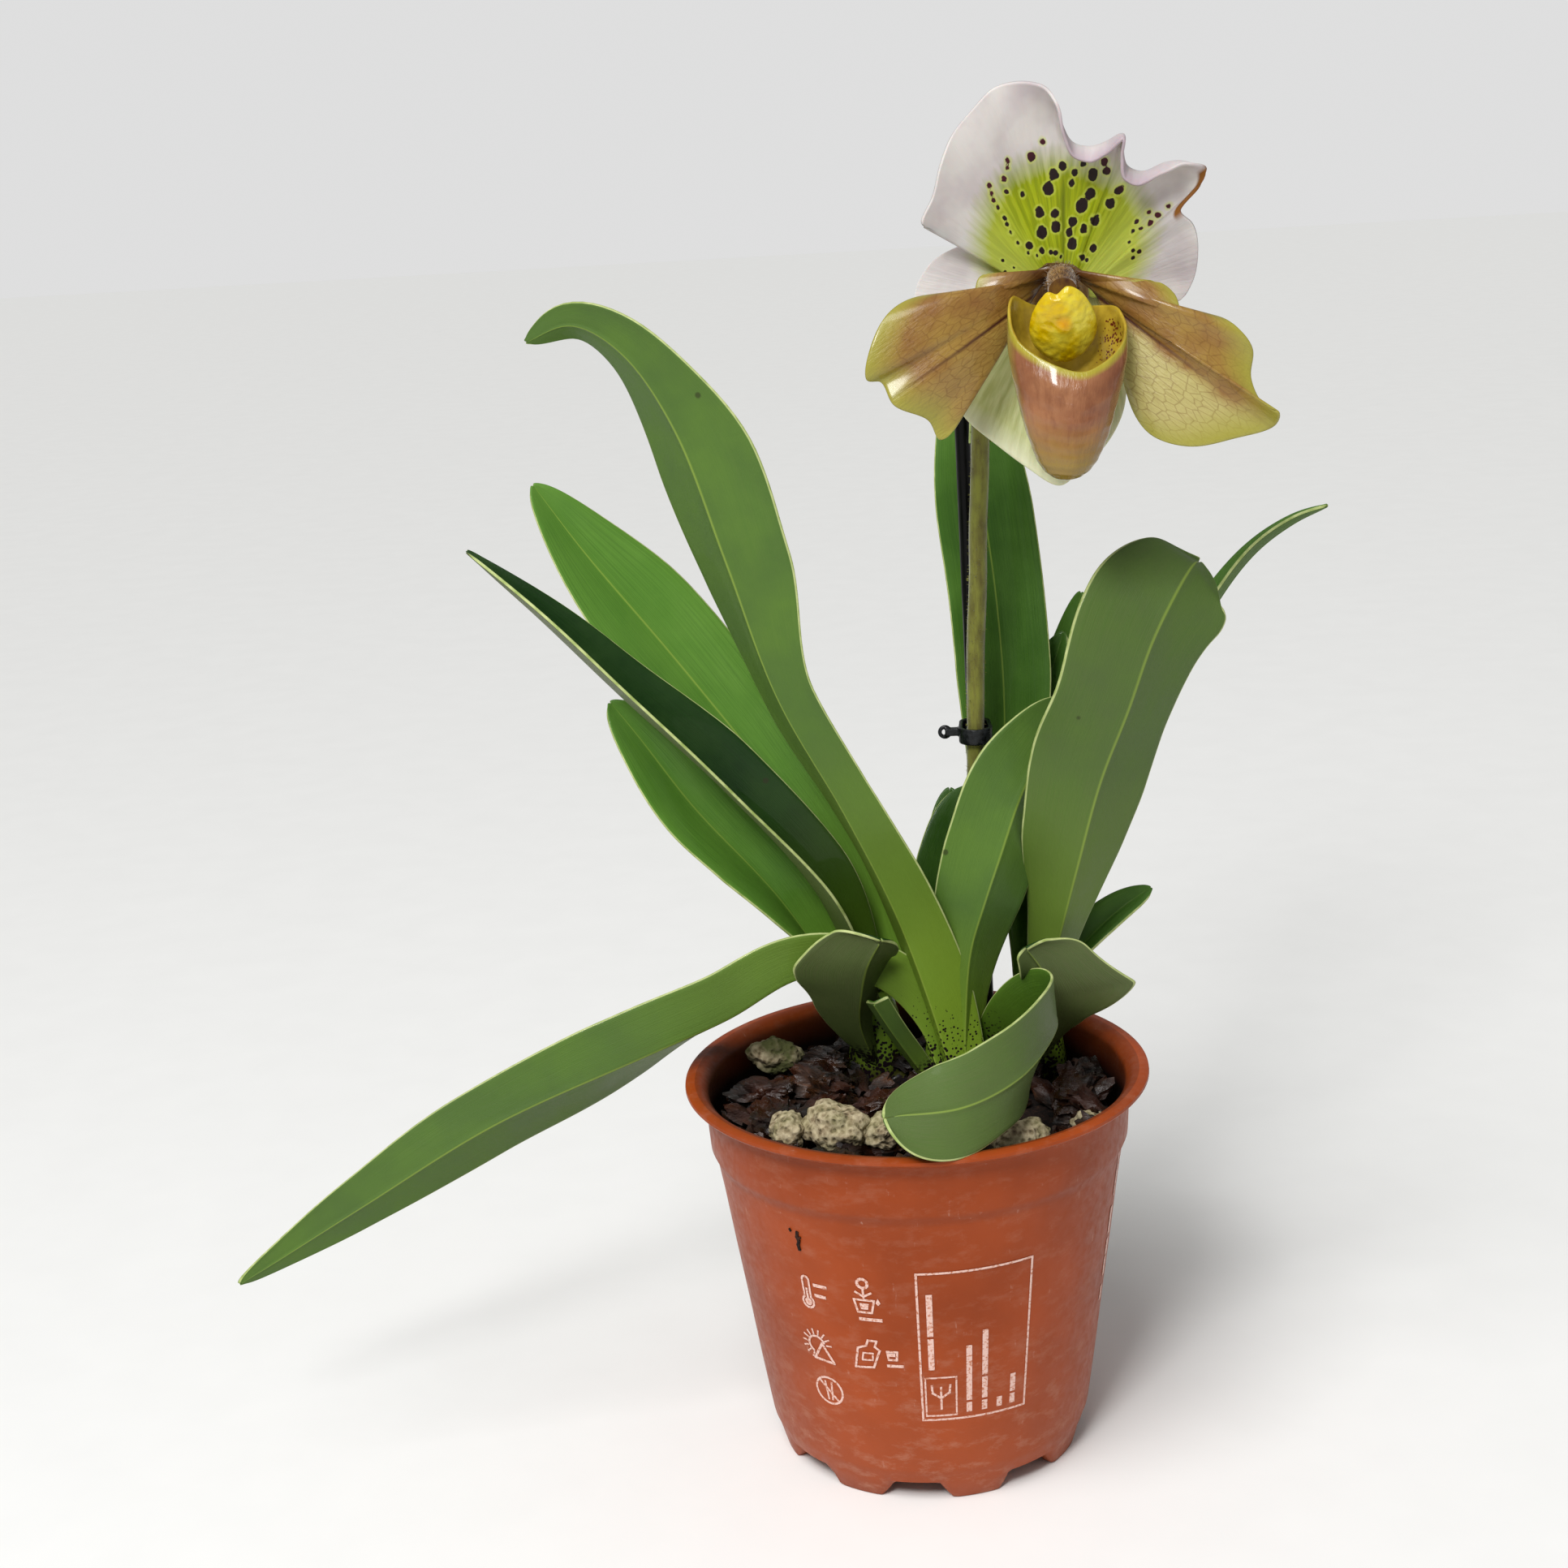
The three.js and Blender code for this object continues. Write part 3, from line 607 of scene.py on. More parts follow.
def wallPiece(mesh, thickness, offset):                     # faces turned outward, then given a thickness
    deselect()
    bpy.ops.mesh.primitive_plane_add(size=1)
    piece = bpy.context.object
    for face in mesh.faces:
        face.normal_update()
        if face.normal.dot(face.calc_center_median() - axis) < 0:
            face.normal_flip()
    mesh.to_mesh(piece.data)
    thicken(piece, thickness * mm, offset=offset)
    return piece


def makePrints():
    azimuth, height, _, _ = printShape["label"]
    drawings = [(drawThermometer, -36.5, 59.5), (drawWatering, -18, 61), (drawShade, -36, 44.2),
                (drawFeeding, -18.5, 44.5), (drawCup, -11, 44.5), (drawCrossed, -34, 30.8),
                (drawLabel, azimuth, height)]
    mesh = bmesh.new()
    for draw, turnBy, level in drawings:
        part = bmesh.new()
        draw(part, printShape["stroke"])
        addWrapped(mesh, part, turnBy, level)
    side = bmesh.new()
    bar(side, 0, 9, 13, 0.9, upright=True)
    for level, length in ((-1, 6), (-7, 3), (-13, 4), (-20, 2.5)):
        bar(side, -0.6, level, length, 2.0, upright=True)
    addWrapped(mesh, side, 74, 62)
    piece = wallPiece(mesh, printShape["thickness"], -1)
    ink = newMaterial("potPrint", 0.5)
    patches = mottle(ink, place(ink), 1500, 3)
    wire(ink, stops(ink, patches, (0.34, "c07a5c"), (0.5, printShape["colour"])))
    return hand(piece, "potPrints", "pot", materials=[ink], smooth=30)


def makeSmear():                                            # a little soil dried on the wall
    mesh = bmesh.new()
    strokePath(mesh, [(0.4, 2.6), (0.1, 1.2), (0.5, 0.2), (0.1, -1.0), (0.3, -2.2)], 0.8)
    strokePath(mesh, [(0.4, 0.6), (1.0, 1.3)], 0.6)
    strokePath(mesh, [(-1.9, 3.0), (-1.7, 2.6)], 0.5)
    wrapOn(mesh, -37, 74)
    smear = wallPiece(mesh, printShape["smearThickness"], 0)
    soil = newMaterial("driedSoil", 0.8)
    grain = mottle(soil, place(soil), 900, 3)
    wire(soil, stops(soil, grain, (0.4, "120a07"), (0.6, "3a1f14")), None, grain, 0.8, 0.0004)
    return hand(smear, "soilSmear", "growing_mix", materials=[soil])


makePrints()
makeSmear()
print("prints done")

# Growing mix: bark, pumice and the dark fines between them
mixShape = {
    "chips": 150,
    "spreadRadius": 51.0,
    "clearOfWall": 2.2,                      # kept free, measured from the pot's outer face
    "scatterRadius": 52.3,                   # no loose chip reaches further out than this
    "chipShape": (0.95, 0.68, 0.56),         # length, width and height of a chip for its size
    "stoneShape": (1.14, 0.84, 0.78),
    "barkColours": ((0.34, "030201"), (0.52, "150b06"), (0.64, "362010"), (0.82, "784c30")),
    "stoneColours": ((0.28, "443a2a"), (0.45, "8a7a60"), (0.65, "c0b294")),
}
bigChips = [                 # x, y and height from the bark, and size
    (-40, 7, 1, 9), (-25, 9, 2, 9), (-38, -9, 1, 8), (-24, -6, 1, 8), (-9, -8, 2, 8), (-36, -30, 1, 6),
    (-19, -39, 0, 8), (-1, -40, 0, 7), (8, -20, 1, 8), (11, -39, 0, 6), (39, -27, 0, 7), (41, 3, 1, 8),
    (46, 18, 0, 7), (-25, 26, 2, 7),
]
pumiceStones = [
    (-38, 25, 7, 6), (-21, -22, 5, 8), (-33, -20, 4, 5.5), (-8, -23, 4, 6), (25, -32, 4, 6.5),
    (44, -14, 0, 4.5),
]


def barkWood():
    material = newMaterial("barkWood", 0.6, Specular_IOR_Level=0.45)
    spots = place(material)
    layers = mottle(material, place(material, (1, 1, 3.2)), 190, 6, 0.6)
    cloud = mottle(material, spots, 90, 4)
    colour = stops(material, plus(material, times(material, layers, 0.55),
                                  times(material, cloud, 0.5)), *mixShape["barkColours"])
    red = stops(material, mottle(material, spots, 60, 2), (0.48, 0.0), (0.64, 0.4))
    colour = blend(material, red, colour, "4e2413")
    rough = stops(material, mottle(material, spots, 150, 3), (0.42, 0.24), (0.6, 0.7))
    return wire(material, colour, rough, layers, 0.8, 0.0012)


def pumiceStone(mossy):
    material = newMaterial("pumiceMossy" if mossy else "pumiceStone", 0.92)
    spots = place(material)
    pits = speckle(material, spots, 700.0)
    grain = mottle(material, spots, 500, 5, 0.65)
    colour = stops(material, plus(material, times(material, grain, 0.7),
                                  times(material, pits, 0.35)), *mixShape["stoneColours"])
    algae = stops(material, mottle(material, spots, 130, 3), (0.42, 0.0), (0.62, 0.95 if mossy else 0.28))
    colour = blend(material, algae, colour, "565a34" if mossy else "8f9664")
    height = plus(material, calc(material, "MINIMUM", pits, 0.45), times(material, grain, 0.5))
    return wire(material, colour, None, height, 0.9, 0.0009)


def rawChip(order, cuts, rough):
    deselect()
    bpy.ops.mesh.primitive_cube_add(size=2, location=(0, 0, 0))
    chip = bpy.context.object
    bpy.ops.object.mode_set(mode='EDIT')
    bpy.ops.mesh.select_all(action='SELECT')
    bpy.ops.mesh.subdivide(number_cuts=cuts, fractal=rough, fractal_along_normal=0.3, seed=order * 7 + 3)
    bpy.ops.object.mode_set(mode='OBJECT')
    for vertex in chip.data.vertices:
        spot = vertex.co.copy()
        length = spot.length
        squeeze = 1.25 / max(length, 0.4) if length > 1.25 else 1
        shift = Vector((order * 5.3, 0, order))
        ridge = 0.42 * abs(noise.noise(Vector((spot.x * 1.1, spot.y * 1.8, spot.z * 2.6)) + shift))
        lump = 0.4 * noise.noise(spot * 1.2 + shift) + 0.22 * noise.noise(spot * 3.1 + shift)
        vertex.co = spot * (squeeze + lump - ridge)
    return chip


def keepInside(piece):                                      # nothing pokes through the pot's wall
    for vertex in piece.data.vertices:
        side = vertex.co - axis
        limit = (wallRadius(side.z / mm) - mixShape["clearOfWall"]) * mm
        reach = side.to_2d().length
        if reach > limit and vertex.co.z < rimTop:
            vertex.co.xy = axis.xy + side.to_2d() * limit / reach


def laid(source, spot, size, flat, spin, tilt):
    copyOf = source.copy()
    copyOf.data = source.data.copy()
    scene.collection.objects.link(copyOf)
    long, wide, high = size * flat[0] * mm, size * flat[1] * mm, size * flat[2] * mm
    change = (Matrix.Translation(spot) @ Matrix.Rotation(spin, 4, 'Z') @ Matrix.Rotation(tilt[0], 4, 'X')
              @ Matrix.Rotation(tilt[1], 4, 'Y') @ Matrix.Diagonal((long, wide, high, 1)))
    copyOf.data.transform(change)
    keepInside(copyOf)
    return copyOf


def makeMix():
    bark = barkWood()
    chips = [rawChip(order, 13, 0.45) for order in range(6)]
    for i, (x, y, z, size) in enumerate(bigChips):
        node = f"bark_chip_{i + 1}"
        tilt = (dice.uniform(-0.5, 0.5), dice.uniform(-0.4, 0.4))
        chip = laid(chips[i % 6], planted((x, y, z + 1)), size, mixShape["chipShape"], i * 2.4, tilt)
        hand(chip, pieceName(node), "bark", node, materials=[bark], smooth=50)
    small = [rawChip(order + 20, 3, 1.1) for order in range(5)]
    scatter = []
    while len(scatter) < mixShape["chips"]:
        angle, reach = dice.uniform(0, 2 * math.pi), mixShape["spreadRadius"] * math.sqrt(dice.random())
        size = dice.uniform(2.6, 6.2)
        reach = min(reach, mixShape["scatterRadius"] - size)
        x, y = reach * math.cos(angle), reach * math.sin(angle)
        tilt = (dice.uniform(-0.8, 0.8), dice.uniform(-0.7, 0.7))
        spot = planted((x, y, dice.uniform(-2.0, 2.6)))
        source = dice.choice(small)
        flat = (1.0, dice.uniform(0.45, 0.75), dice.uniform(0.25, 0.5))
        scatter.append(laid(source, spot, size, flat, dice.uniform(0, 6.3), tilt))
    hand(join(scatter), "smallBark", "bark", materials=[bark], smooth=45)
    for chip in chips + small:
        bpy.data.objects.remove(chip)

    for i, (x, y, z, size) in enumerate(pumiceStones):
        node = f"pumice_{i + 1}"
        deselect()
        bpy.ops.mesh.primitive_ico_sphere_add(subdivisions=5, radius=1)
        stone = bpy.context.object
        for vertex in stone.data.vertices:
            spot = vertex.co.copy()
            corner = Vector((i * 4.1, 2, 7))
            form = 1 + 0.3 * noise.noise(spot * 1.5 + corner) + 0.1 * noise.noise(spot * 4 + corner)
            pit = noise.voronoi(spot * 5.5 + corner)[0][0]
            vertex.co = spot * (form - 0.09 * max(0, 0.45 - pit) + 0.04 * noise.noise(spot * 9 + corner))
        tilt = (0.25 * math.sin(i), 0.1)
        pumice = laid(stone, planted((x, y, z + 0.5)), size, mixShape["stoneShape"], i * 2.4, tilt)
        bpy.data.objects.remove(stone)
        hand(pumice, pieceName(node), "pumice", node, materials=[pumiceStone(i == 0)])

    level = barkLevel / mm
    profile = [(4, 8), (38, 8), (39.6, 10), (42.6, 25), (45.6, 46), (49.3, 72), (50.8, 82.6),
               (51.6, level - 5)]
    profile += [(radius, level - 3.2) for radius in range(50, 1, -3)]
    mix = turn(profile, 110)
    for vertex in mix.data.vertices:
        if vertex.co.z > (level - 4) * mm:
            spot = vertex.co / mm
            vertex.co.z += 1.6 * mm * noise.noise(spot * 0.16) + 1.1 * mm * noise.noise(spot * 0.5)
    fines = newMaterial("fineMix", 0.9)
    grain = mottle(fines, place(fines), 500, 6, 0.7)
    dark = stops(fines, grain, (0.4, "0b0807"), (0.6, "2a1c15"), (0.75, "4a3527"))
    wire(fines, dark, None, grain, 1.0, 0.002)
    hand(mix, "growingMix", "growing_mix", "growing_mix", materials=[fines], smooth=60)


makeMix()
print("bark and pumice done")

# Leaves: a flat grid is bent onto the midrib, folded along it and rounded off at the tip
leafFinish = {
    "columns": 18,
    "rows": 64,
    "thickness": 1.0,
    "keel": 0.65,
    "upperDeep": "0f2d06",
    "upper": "5c8936",
    "under": "466828",
    "underDull": "5c653f",
    "lime": "86a336",
    "vein": "9db352",
    "margin": "c3cc8e",
}


def purpleSpeckles(material, spots):                        # dense at the foot of a growth, gone higher up
    height = addNode(material, "ShaderNodeSeparateXYZ", {"Vector": spots}).outputs[2]
    level = calc(material, "DIVIDE", minus(material, height, barkLevel), 34 * mm)
    speckles = speckle(material, spots, 950.0)
    reach = minus(material, 0.58, times(material, level, 0.6))
    reach = times(material, reach, mottle(material, spots, 160, 3))
    return stops(material, minus(material, times(material, reach, 2.2), speckles),
                 (0.0, 0.0), (0.06, 1.0))


def leafSkin(name, upper):
    material = newMaterial(name, 0.36 if upper else 0.46, Coat_Weight=0.15 if upper else 0.05)
    across, along = spread(material, "spread")
    lines = place(material, (46, 2.2, 1), "spread")
    streaks = mottle(material, lines, 3.0, 4, 0.6)
    spots = place(material)
    cloud = mottle(material, spots, 55, 3)
    fine = mottle(material, spots, 900, 3)
    # each leaf's tone value: its own green, with painted shade darkening some leaves and a painted sheen
    # lightening the glossy ones
    tone = attribute(material, "tone")
    base = blend(material, tone, leafFinish["upperDeep" if upper else "underDull"],
                 leafFinish["upper" if upper else "under"])
    light = times(material, stops(material, cloud, (0.35, 0.0), (0.7, 0.6)), plus(material, tone, 0.15))
    colour = blend(material, light, base, "6b963f" if upper else "5f7f30")
    colour = blend(material, stops(material, streaks, (0.42, 0.0), (0.62, 0.28)), colour,
                   "1b4210" if upper else "48692a")
    lime = stops(material, plus(material, along, times(material, cloud, 0.1)),
                 (0.05, 0.95), (0.3, 0.35), (0.5, 0.0))
    lime = times(material, lime, attribute(material, "limeBase"))
    colour = blend(material, lime, colour, leafFinish["lime"])
    midline = within(material, across, 0.5, 0.006, 0.018)
    colour = blend(material, times(material, midline, 0.5), colour, leafFinish["vein"])
    edge = within(material, calc(material, "ABSOLUTE", minus(material, across, 0.5)), 0.5, 0.004, 0.006)
    colour = blend(material, times(material, edge, 0.8), colour, leafFinish["margin"])
    foot = stops(material, along, (0.09, 1.0), (0.16, 0.0))
    colour = blend(material, times(material, purpleSpeckles(material, spots), foot), colour, "1a0f12")
    specks = speckle(material, spots, 42.0)
    colour = blend(material, stops(material, specks, (0.025, 0.7), (0.04, 0.0)), colour, "2a2a12")
    rough = stops(material, plus(material, cloud, times(material, fine, 0.3)),
                  (0.4, 0.28 if upper else 0.4), (0.9, 0.5 if upper else 0.62))
    height = plus(material, streaks, times(material, fine, 0.35))
    return wire(material, colour, rough, height, 0.35, 0.0004)


def leafEdge():
    material = newMaterial("leafMargin", 0.45)
    streaks = mottle(material, place(material), 300, 3)
    return wire(material, stops(material, streaks, (0.35, "98a962"), (0.65, leafFinish["margin"])))


leafMaterials = [leafSkin("leafUpper", True), leafSkin("leafUnderside", False), leafEdge()]

# Midrib from the crown to the tip, which way the upper face looks along it, the width over the face,
# how steeply the halves fold up, how the margins wave, how dark the leaf is (its own green plus painted
# shade on the dark leaves and a painted sheen on the light ones) and how lime it is
leaves = {
    "leaf_tall_left": {
        "rib": [(11, 10, 0), (6.5, 10, 20), (-2.5, 10, 50), (-14.5, 4, 80), (-30, 2, 112), (-41, 4, 147),
                (-52, 8, 180), (-64, 10, 199), (-76, 12, 206), (-88, 14, 202)],
        "face": [(0.4, 0.9, 0.2), (0.6, 0.7, 0.3), (0.5, 0.8, 0.3), (0.4, 0.8, 0.5)],
        "width": [21, 25, 24, 19, 21, 33, 35, 26, 18],
        "fold": [50, 28, 22, 20],
        "wave": (0.8, 3.0, 1.0), "tone": 0.75, "lime": 1.0,
    },
    "leaf_front_middle": {
        "rib": [(13, 12, 1), (13.5, 11, 20), (15.5, 10, 40), (19.5, 10, 53), (24, 12, 65), (30, 16, 80),
                (37, 21, 92), (43, 27, 102)],
        "face": [(0, 1, 0.1), (-0.2, 1, 0.2), (-0.3, 0.9, 0.4)],
        "width": [17, 18, 25, 30, 31, 27],
        "wave": (0.4, 2.0, 0.0), "tone": 0.8, "lime": 1.0,
    },
    "leaf_drooping_left": {
        "rib": [(7, 13, 3), (2, 14, 18), (-9, 15, 30), (-28, 12, 34.5), overRim(-11, 173, 13.5),
                overRim(10, 180, 6.5), overRim(50, 184, -8), overRim(86, 185, -27.5),
                overRim(120, 185, -47)],
        "face": [(0, 0.6, 0.8), (0.1, 0.8, 0.6), (0.1, 1, 0.3), (0.1, 1, 0.3)],
        "width": [24, 24, 29, 30.5, 24, 17, 11], "share": [0.5, 0.5, 0.55, 0.56, 0.54, 0.5, 0.5],
        "fold": [65, 40, 25, 20], "tip": 0.75,
        "wave": (0.4, 3.0, 0.4), "tone": 0.7, "lime": 0.7,
    },
    "leaf_wide_left": {
        "rib": [(-6, 36, 22), (-19, 40, 57), (-40, 45, 86), (-62, 48, 116), (-82, 48, 143), (-94, 46, 162)],
        "face": [(0.6, -0.6, 0.3), (0.4, -0.8, 0.4), (0.3, -0.8, 0.5)],
        "width": [15, 23, 33, 35, 26],
        "tip": 0.6, "wave": (0.4, 2.0, 0.8), "tone": 1.0, "lime": 0.5,
    },
    "leaf_strap_left": {
        "rib": [(-12, 32, 20), (-24, 24, 54), (-46, 19, 84), (-71, 17, 111), (-91, 17, 133), (-108, 18, 150)],
        "face": [(0.7, -0.4, 0.4), (0.55, -0.5, 0.6), (0.5, -0.3, 0.8)],
        "width": [16, 26, 26, 20, 12],
        "fold": [60, 50, 55], "tip": 0.6, "wave": (0.3, 2.0, 0.5), "tone": 0.0, "lime": 0.3,
    },
    "leaf_low_left": {
        "rib": [(-16, 35, 16), (-34.5, 34, 48), (-56.3, 32, 76), (-69, 30, 96), (-76, 30, 106)],
        "face": [(0.6, -0.5, 0.6), (0.5, -0.7, 0.5), (0.4, -0.8, 0.4)],
        "width": [16, 26, 28, 24],
        "tip": 0.6, "wave": (0.4, 2.0, 1.5), "tone": 1.0, "lime": 0.5,
    },
    "leaf_back_left": {
        "rib": [(-15, 42, 22), (-46, 60, 73), (-69, 66, 100), (-80, 68, 116)],
        "face": [(0.6, -0.5, 0.6), (0.5, -0.7, 0.5), (0.4, -0.8, 0.4)],
        "width": [15, 24, 26, 20],
        "tip": 0.6, "wave": (0.3, 2.0, 0.0), "tone": 1.0, "lime": 0.5,
    },
    "leaf_inner_left": {
        "rib": [(-6, 42, 22), (-17, 56, 59), (-34, 62, 88), (-46, 64, 105)],
        "face": [(0.6, -0.7, 0.3), (0.4, -0.8, 0.4), (0.3, -0.8, 0.4)],
        "width": [14, 22, 25, 20],
        "wave": (0.3, 2.0, 0.0), "tone": 0.3, "lime": 0.4,
    },
    "leaf_front_left_short": {
        "rib": [(-11, 29, 2), (-14.5, 18, 18), (-13.5, 10, 30), (-11.5, 5, 39), (-7.5, 2, 47)],
        "face": [(-0.3, 0.9, 0.2), (-0.35, 0.9, 0), (-0.4, 0.9, -0.2)],
        "width": [8, 13, 20, 30, 18], "share": [0.5, 0.58, 0.65, 0.6],
        "fold": [60, 30, 22], "tip": 0.93,
        "wave": (0.9, 1.2, 2.4), "tone": 0.05, "lime": 0.2, "notch": 2.5,
    },
    "leaf_cut_stub": {
        "rib": [(3, 18, 2), (-5, 12, 17), (-10, 9, 27)],
        "face": [(0.2, 0.8, 0.5), (0.2, 0.8, 0.5)],
        "width": [8, 9],
        "fold": [40, 40], "tip": 0.98, "wave": (0.2, 1.0, 0.0), "tone": 0.5, "lime": 0.5,
    },
    "leaf_broad_right": {
        "rib": [(34, 26, 14), (39, 17, 40), (44, 11, 62), (50, 8, 85), (57, 5, 104), (63, 4, 121),
                (69, 6, 132), (74, 11, 138), (77, 18, 138)],
        "face": [(0, 1, 0), (-0.1, 1, 0.1), (-0.3, 0.9, 0.3), (-0.2, 0.6, -0.6)],
        "width": [15, 21, 31, 36.5, 39, 38], "share": [0.5, 0.53, 0.55, 0.54, 0.53, 0.5],
        "fold": [60, 20, 15], "tip": 0.84,
        "wave": (0.9, 3.5, 0.2), "tone": 0.45, "lime": 0.6, "notch": 3.0,
    },
    "leaf_reaching_right": {
        "rib": [(36, 36, 20), (58, 42, 70), (78, 44, 112), (93, 44, 134), (104, 42, 143), (113, 41, 147)],
        "face": [(-0.7, -0.5, 0.4), (-0.7, -0.2, 0.7), (-0.5, -0.1, 0.9)],
        "width": [13, 16, 11, 10],
        "fold": [60, 55, 50], "wave": (0.5, 2.0, 0.0), "tone": 0.7, "lime": 0.4,
    },
    "leaf_front_curled": {
        "rib": [(22, 22, 4), (27, 12, 17), (34, 1, 26), (35.5, -12, 27), overRim(-14, 302, 11.5),
                overRim(-6.5, 281, 9.8), overRim(-2.5, 262, 10)],
        "face": [(-0.1, -0.9, 0.3), (-0.6, -0.7, 0.3), (-1, 0.1, 0.2), (-0.4, 0.7, -0.4), (0.1, 0.6, -0.8)],
        "width": [16, 24, 24.5, 22, 29], "share": [0.5, 0.5, 0.49, 0.44, 0.52],
        "fold": [35, 25, 15, 10], "tip": 0.82,
        "wave": (0.5, 2.5, 0.0), "tone": 0.3, "lime": 0.3, "notch": 2.5,
    },
    "leaf_front_right_short": {
        "rib": [(31.9, 22, 3), (34.5, 14, 18), (35, 8, 27), (34, 5, 35), (29.5, 2, 43)],
        "face": [(0.2, 0.9, 0.2), (0.2, 0.9, -0.1), (0.1, 0.9, -0.3)],
        "width": [10, 14, 19, 31, 20, 8], "share": [0.5, 0.45, 0.38, 0.22, 0.32, 0.4],
        "fold": [60, 25, 10], "tip": 0.96, "wave": (0.9, 1.6, 0.6), "tone": 0.0, "lime": 0.2, "notch": 1.5,
    },
    "leaf_low_right": {
        "rib": [(36, 33, 14), (45, 38, 28), (56, 41, 38), (66, 44, 44)],
        "face": [(-0.5, -0.6, 0.7), (-0.4, -0.7, 0.7)],
        "width": [9, 15, 15],
        "fold": [50, 30], "tip": 0.4, "wave": (0.2, 1.0, 0.0), "tone": 0.7, "lime": 0.3,
    },
    "leaf_folded_right": {
        "rib": [(32, 39, 22), (34, 46, 66), (38, 50, 92), (45, 54, 114)],
        "face": [(-0.3, -0.9, 0.2), (-0.4, -0.8, 0.3)],
        "width": [13, 20, 22, 20],
        "fold": [60, 40], "tip": 0.6, "wave": (0.3, 2.0, 0.0), "tone": 0.5, "lime": 0.3,
    },
    "leaf_behind_stem": {
        "rib": [(18, 46, 24), (26, 41, 68), (28, 45, 97), (27, 49, 125), (24, 53, 155), (21, 57, 188)],
        "face": [(0, -1, 0), (0, -1, 0.1), (0, -1, 0.2)],
        "width": [13, 22, 28, 28, 24],
        "tip": 0.75, "wave": (0.4, 2.0, 0.0), "tone": 0.5, "lime": 0.3,
    },
    "leaf_far_right": {
        "rib": [(20, 51, 24), (38, 60, 62), (44, 66, 90), (51, 68, 122)],
        "face": [(-0.3, -0.9, 0.2), (-0.3, -0.9, 0.3)],
        "width": [10, 16, 17, 14],
        "tip": 0.6, "wave": (0.2, 2.0, 0.0), "tone": 0.9, "lime": 0.3,
    },
    "leaf_back_short": {
        "rib": [(12, 50, 26), (9, 53, 45), (13, 57, 57), (18, 61, 70)],
        "face": [(0, -1, 0.1), (0, -0.9, 0.4)],
        "width": [10, 17, 18],
        "tip": 0.6, "wave": (0.2, 1.0, 0.0), "tone": 0.2, "lime": 0.3,
    },
    "leaf_back_narrow": {
        "rib": [(13, 54, 26), (12, 62, 48), (13, 68, 68)],
        "face": [(0, -1, 0.2), (0, -0.9, 0.4)],
        "width": [8, 14, 13],
        "tip": 0.6, "wave": (0.2, 1.0, 0.0), "tone": 0.3, "lime": 0.3,
    },
}


def bendLeaf(piece, leaf):
    midrib = evenLine([planted(point) for point in leaf["rib"]])
    upper = smoothLine(leaf["face"])
    tip = leaf.get("tip", 0.7)
    fold = leaf.get("fold", [60, 25, 20])
    height, waves, shift = leaf["wave"]
    notch = leaf.get("notch", 0.6)
    length = sum((b - a).length for a, b in zip(midrib, midrib[1:])) / mm
    for vertex in piece.data.vertices:
        side = vertex.co.x
        row = (vertex.co.y + 1) / 2
        across = math.copysign(abs(side) ** 1.25, side)
        if row <= 0.7:
            along, narrowing = row / 0.7 * tip, 1.0
        else:
            angle = (row - 0.7) / 0.3 * math.pi / 2
            along, narrowing = tip + (1 - tip) * math.sin(angle), max(math.cos(angle), 0.02)
        dip = notch / length * math.exp(-(across / 0.22) ** 2) * ease(0.8, 1, row)
        along = max(along - dip, 0)
        spot = readLine(midrib, along)
        tangent = (readLine(midrib, along + 0.012) - readLine(midrib, along - 0.012)).normalized()
        up = readLine(upper, along)
        up = (up - tangent * up.dot(tangent)).normalized()
        right = tangent.cross(up)
        angle = math.radians(spaced(fold, along))
        share = spaced(leaf.get("share", [0.5]), along)
        half = spaced(leaf["width"], along) * (share if side > 0 else 1 - share)
        reach = abs(across) * half * narrowing
        rounded = math.sqrt(reach ** 2 + 1.2) - 1.1
        ripple = height * across ** 2 * math.sin(2 * math.pi * waves * along + shift + (side > 0) * 1.9)
        ripple *= ease(0.12, 0.35, along)
        lift = rounded * math.sin(angle) + ripple - 0.35 * abs(across) ** 5
        vertex.co = spot + right * math.copysign(reach, side) * math.cos(angle) * mm + up * lift * mm


def growLeaf(node, leaf, materials, slotName="leaf"):
    piece = bentGrid(leafFinish["columns"], leafFinish["rows"])
    bendLeaf(piece, leaf)
    for material in materials:
        piece.data.materials.append(material)
    thicken(piece, leafFinish["thickness"] * mm, back=1, rim=2)
    uvs = piece.data.uv_layers["spread"].data
    ridge = {}
    for face in piece.data.polygons:
        if face.material_index == 1:
            for loop in face.loop_indices:
                if abs(uvs[loop].uv.x - 0.5) < 0.01:
                    ridge.setdefault(piece.data.loops[loop].vertex_index, []).append(
                        (face.normal.copy(), uvs[loop].uv.y))
    for index, found in ridge.items():
        normal = sum((n for n, _ in found), Vector()).normalized()
        thin = 1 - ease(0.85, 1, found[0][1])
        piece.data.vertices[index].co += normal * leafFinish["keel"] * mm * thin
    subdivide(piece)
    # the leaf's darkness (its own green with painted shade and painted sheen) and how lime its foot is, for
    # the skins
    for name, value in (("tone", leaf["tone"]), ("limeBase", leaf["lime"])):
        layer = piece.data.attributes.new(name, 'FLOAT', 'POINT')
        layer.data.foreach_set("value", [value] * len(piece.data.vertices))
    return hand(piece, pieceName(node), slotName, node)


for node, leaf in leaves.items():
    growLeaf(node, leaf, leafMaterials)
print("leaves done")

# Growths: each fan of leaves stands on a base of tight sheaths, joined by a creeping rhizome
growthShape = {
    "depth": 10,
    "rise": 24,
    "bases": [((11, 20), 7, (10.5, 8)), ((-10, 36), 7, (8.5, 8)), ((33, 30), 7, (8, 8)),
              ((15, 48), 6, (7.5, 6))],
    "rhizome": 4.5,
    "links": [((11, 20), (-10, 36)), ((11, 20), (33, 30)), ((-10, 36), (15, 48))],
    "fineness": 0.7,
}


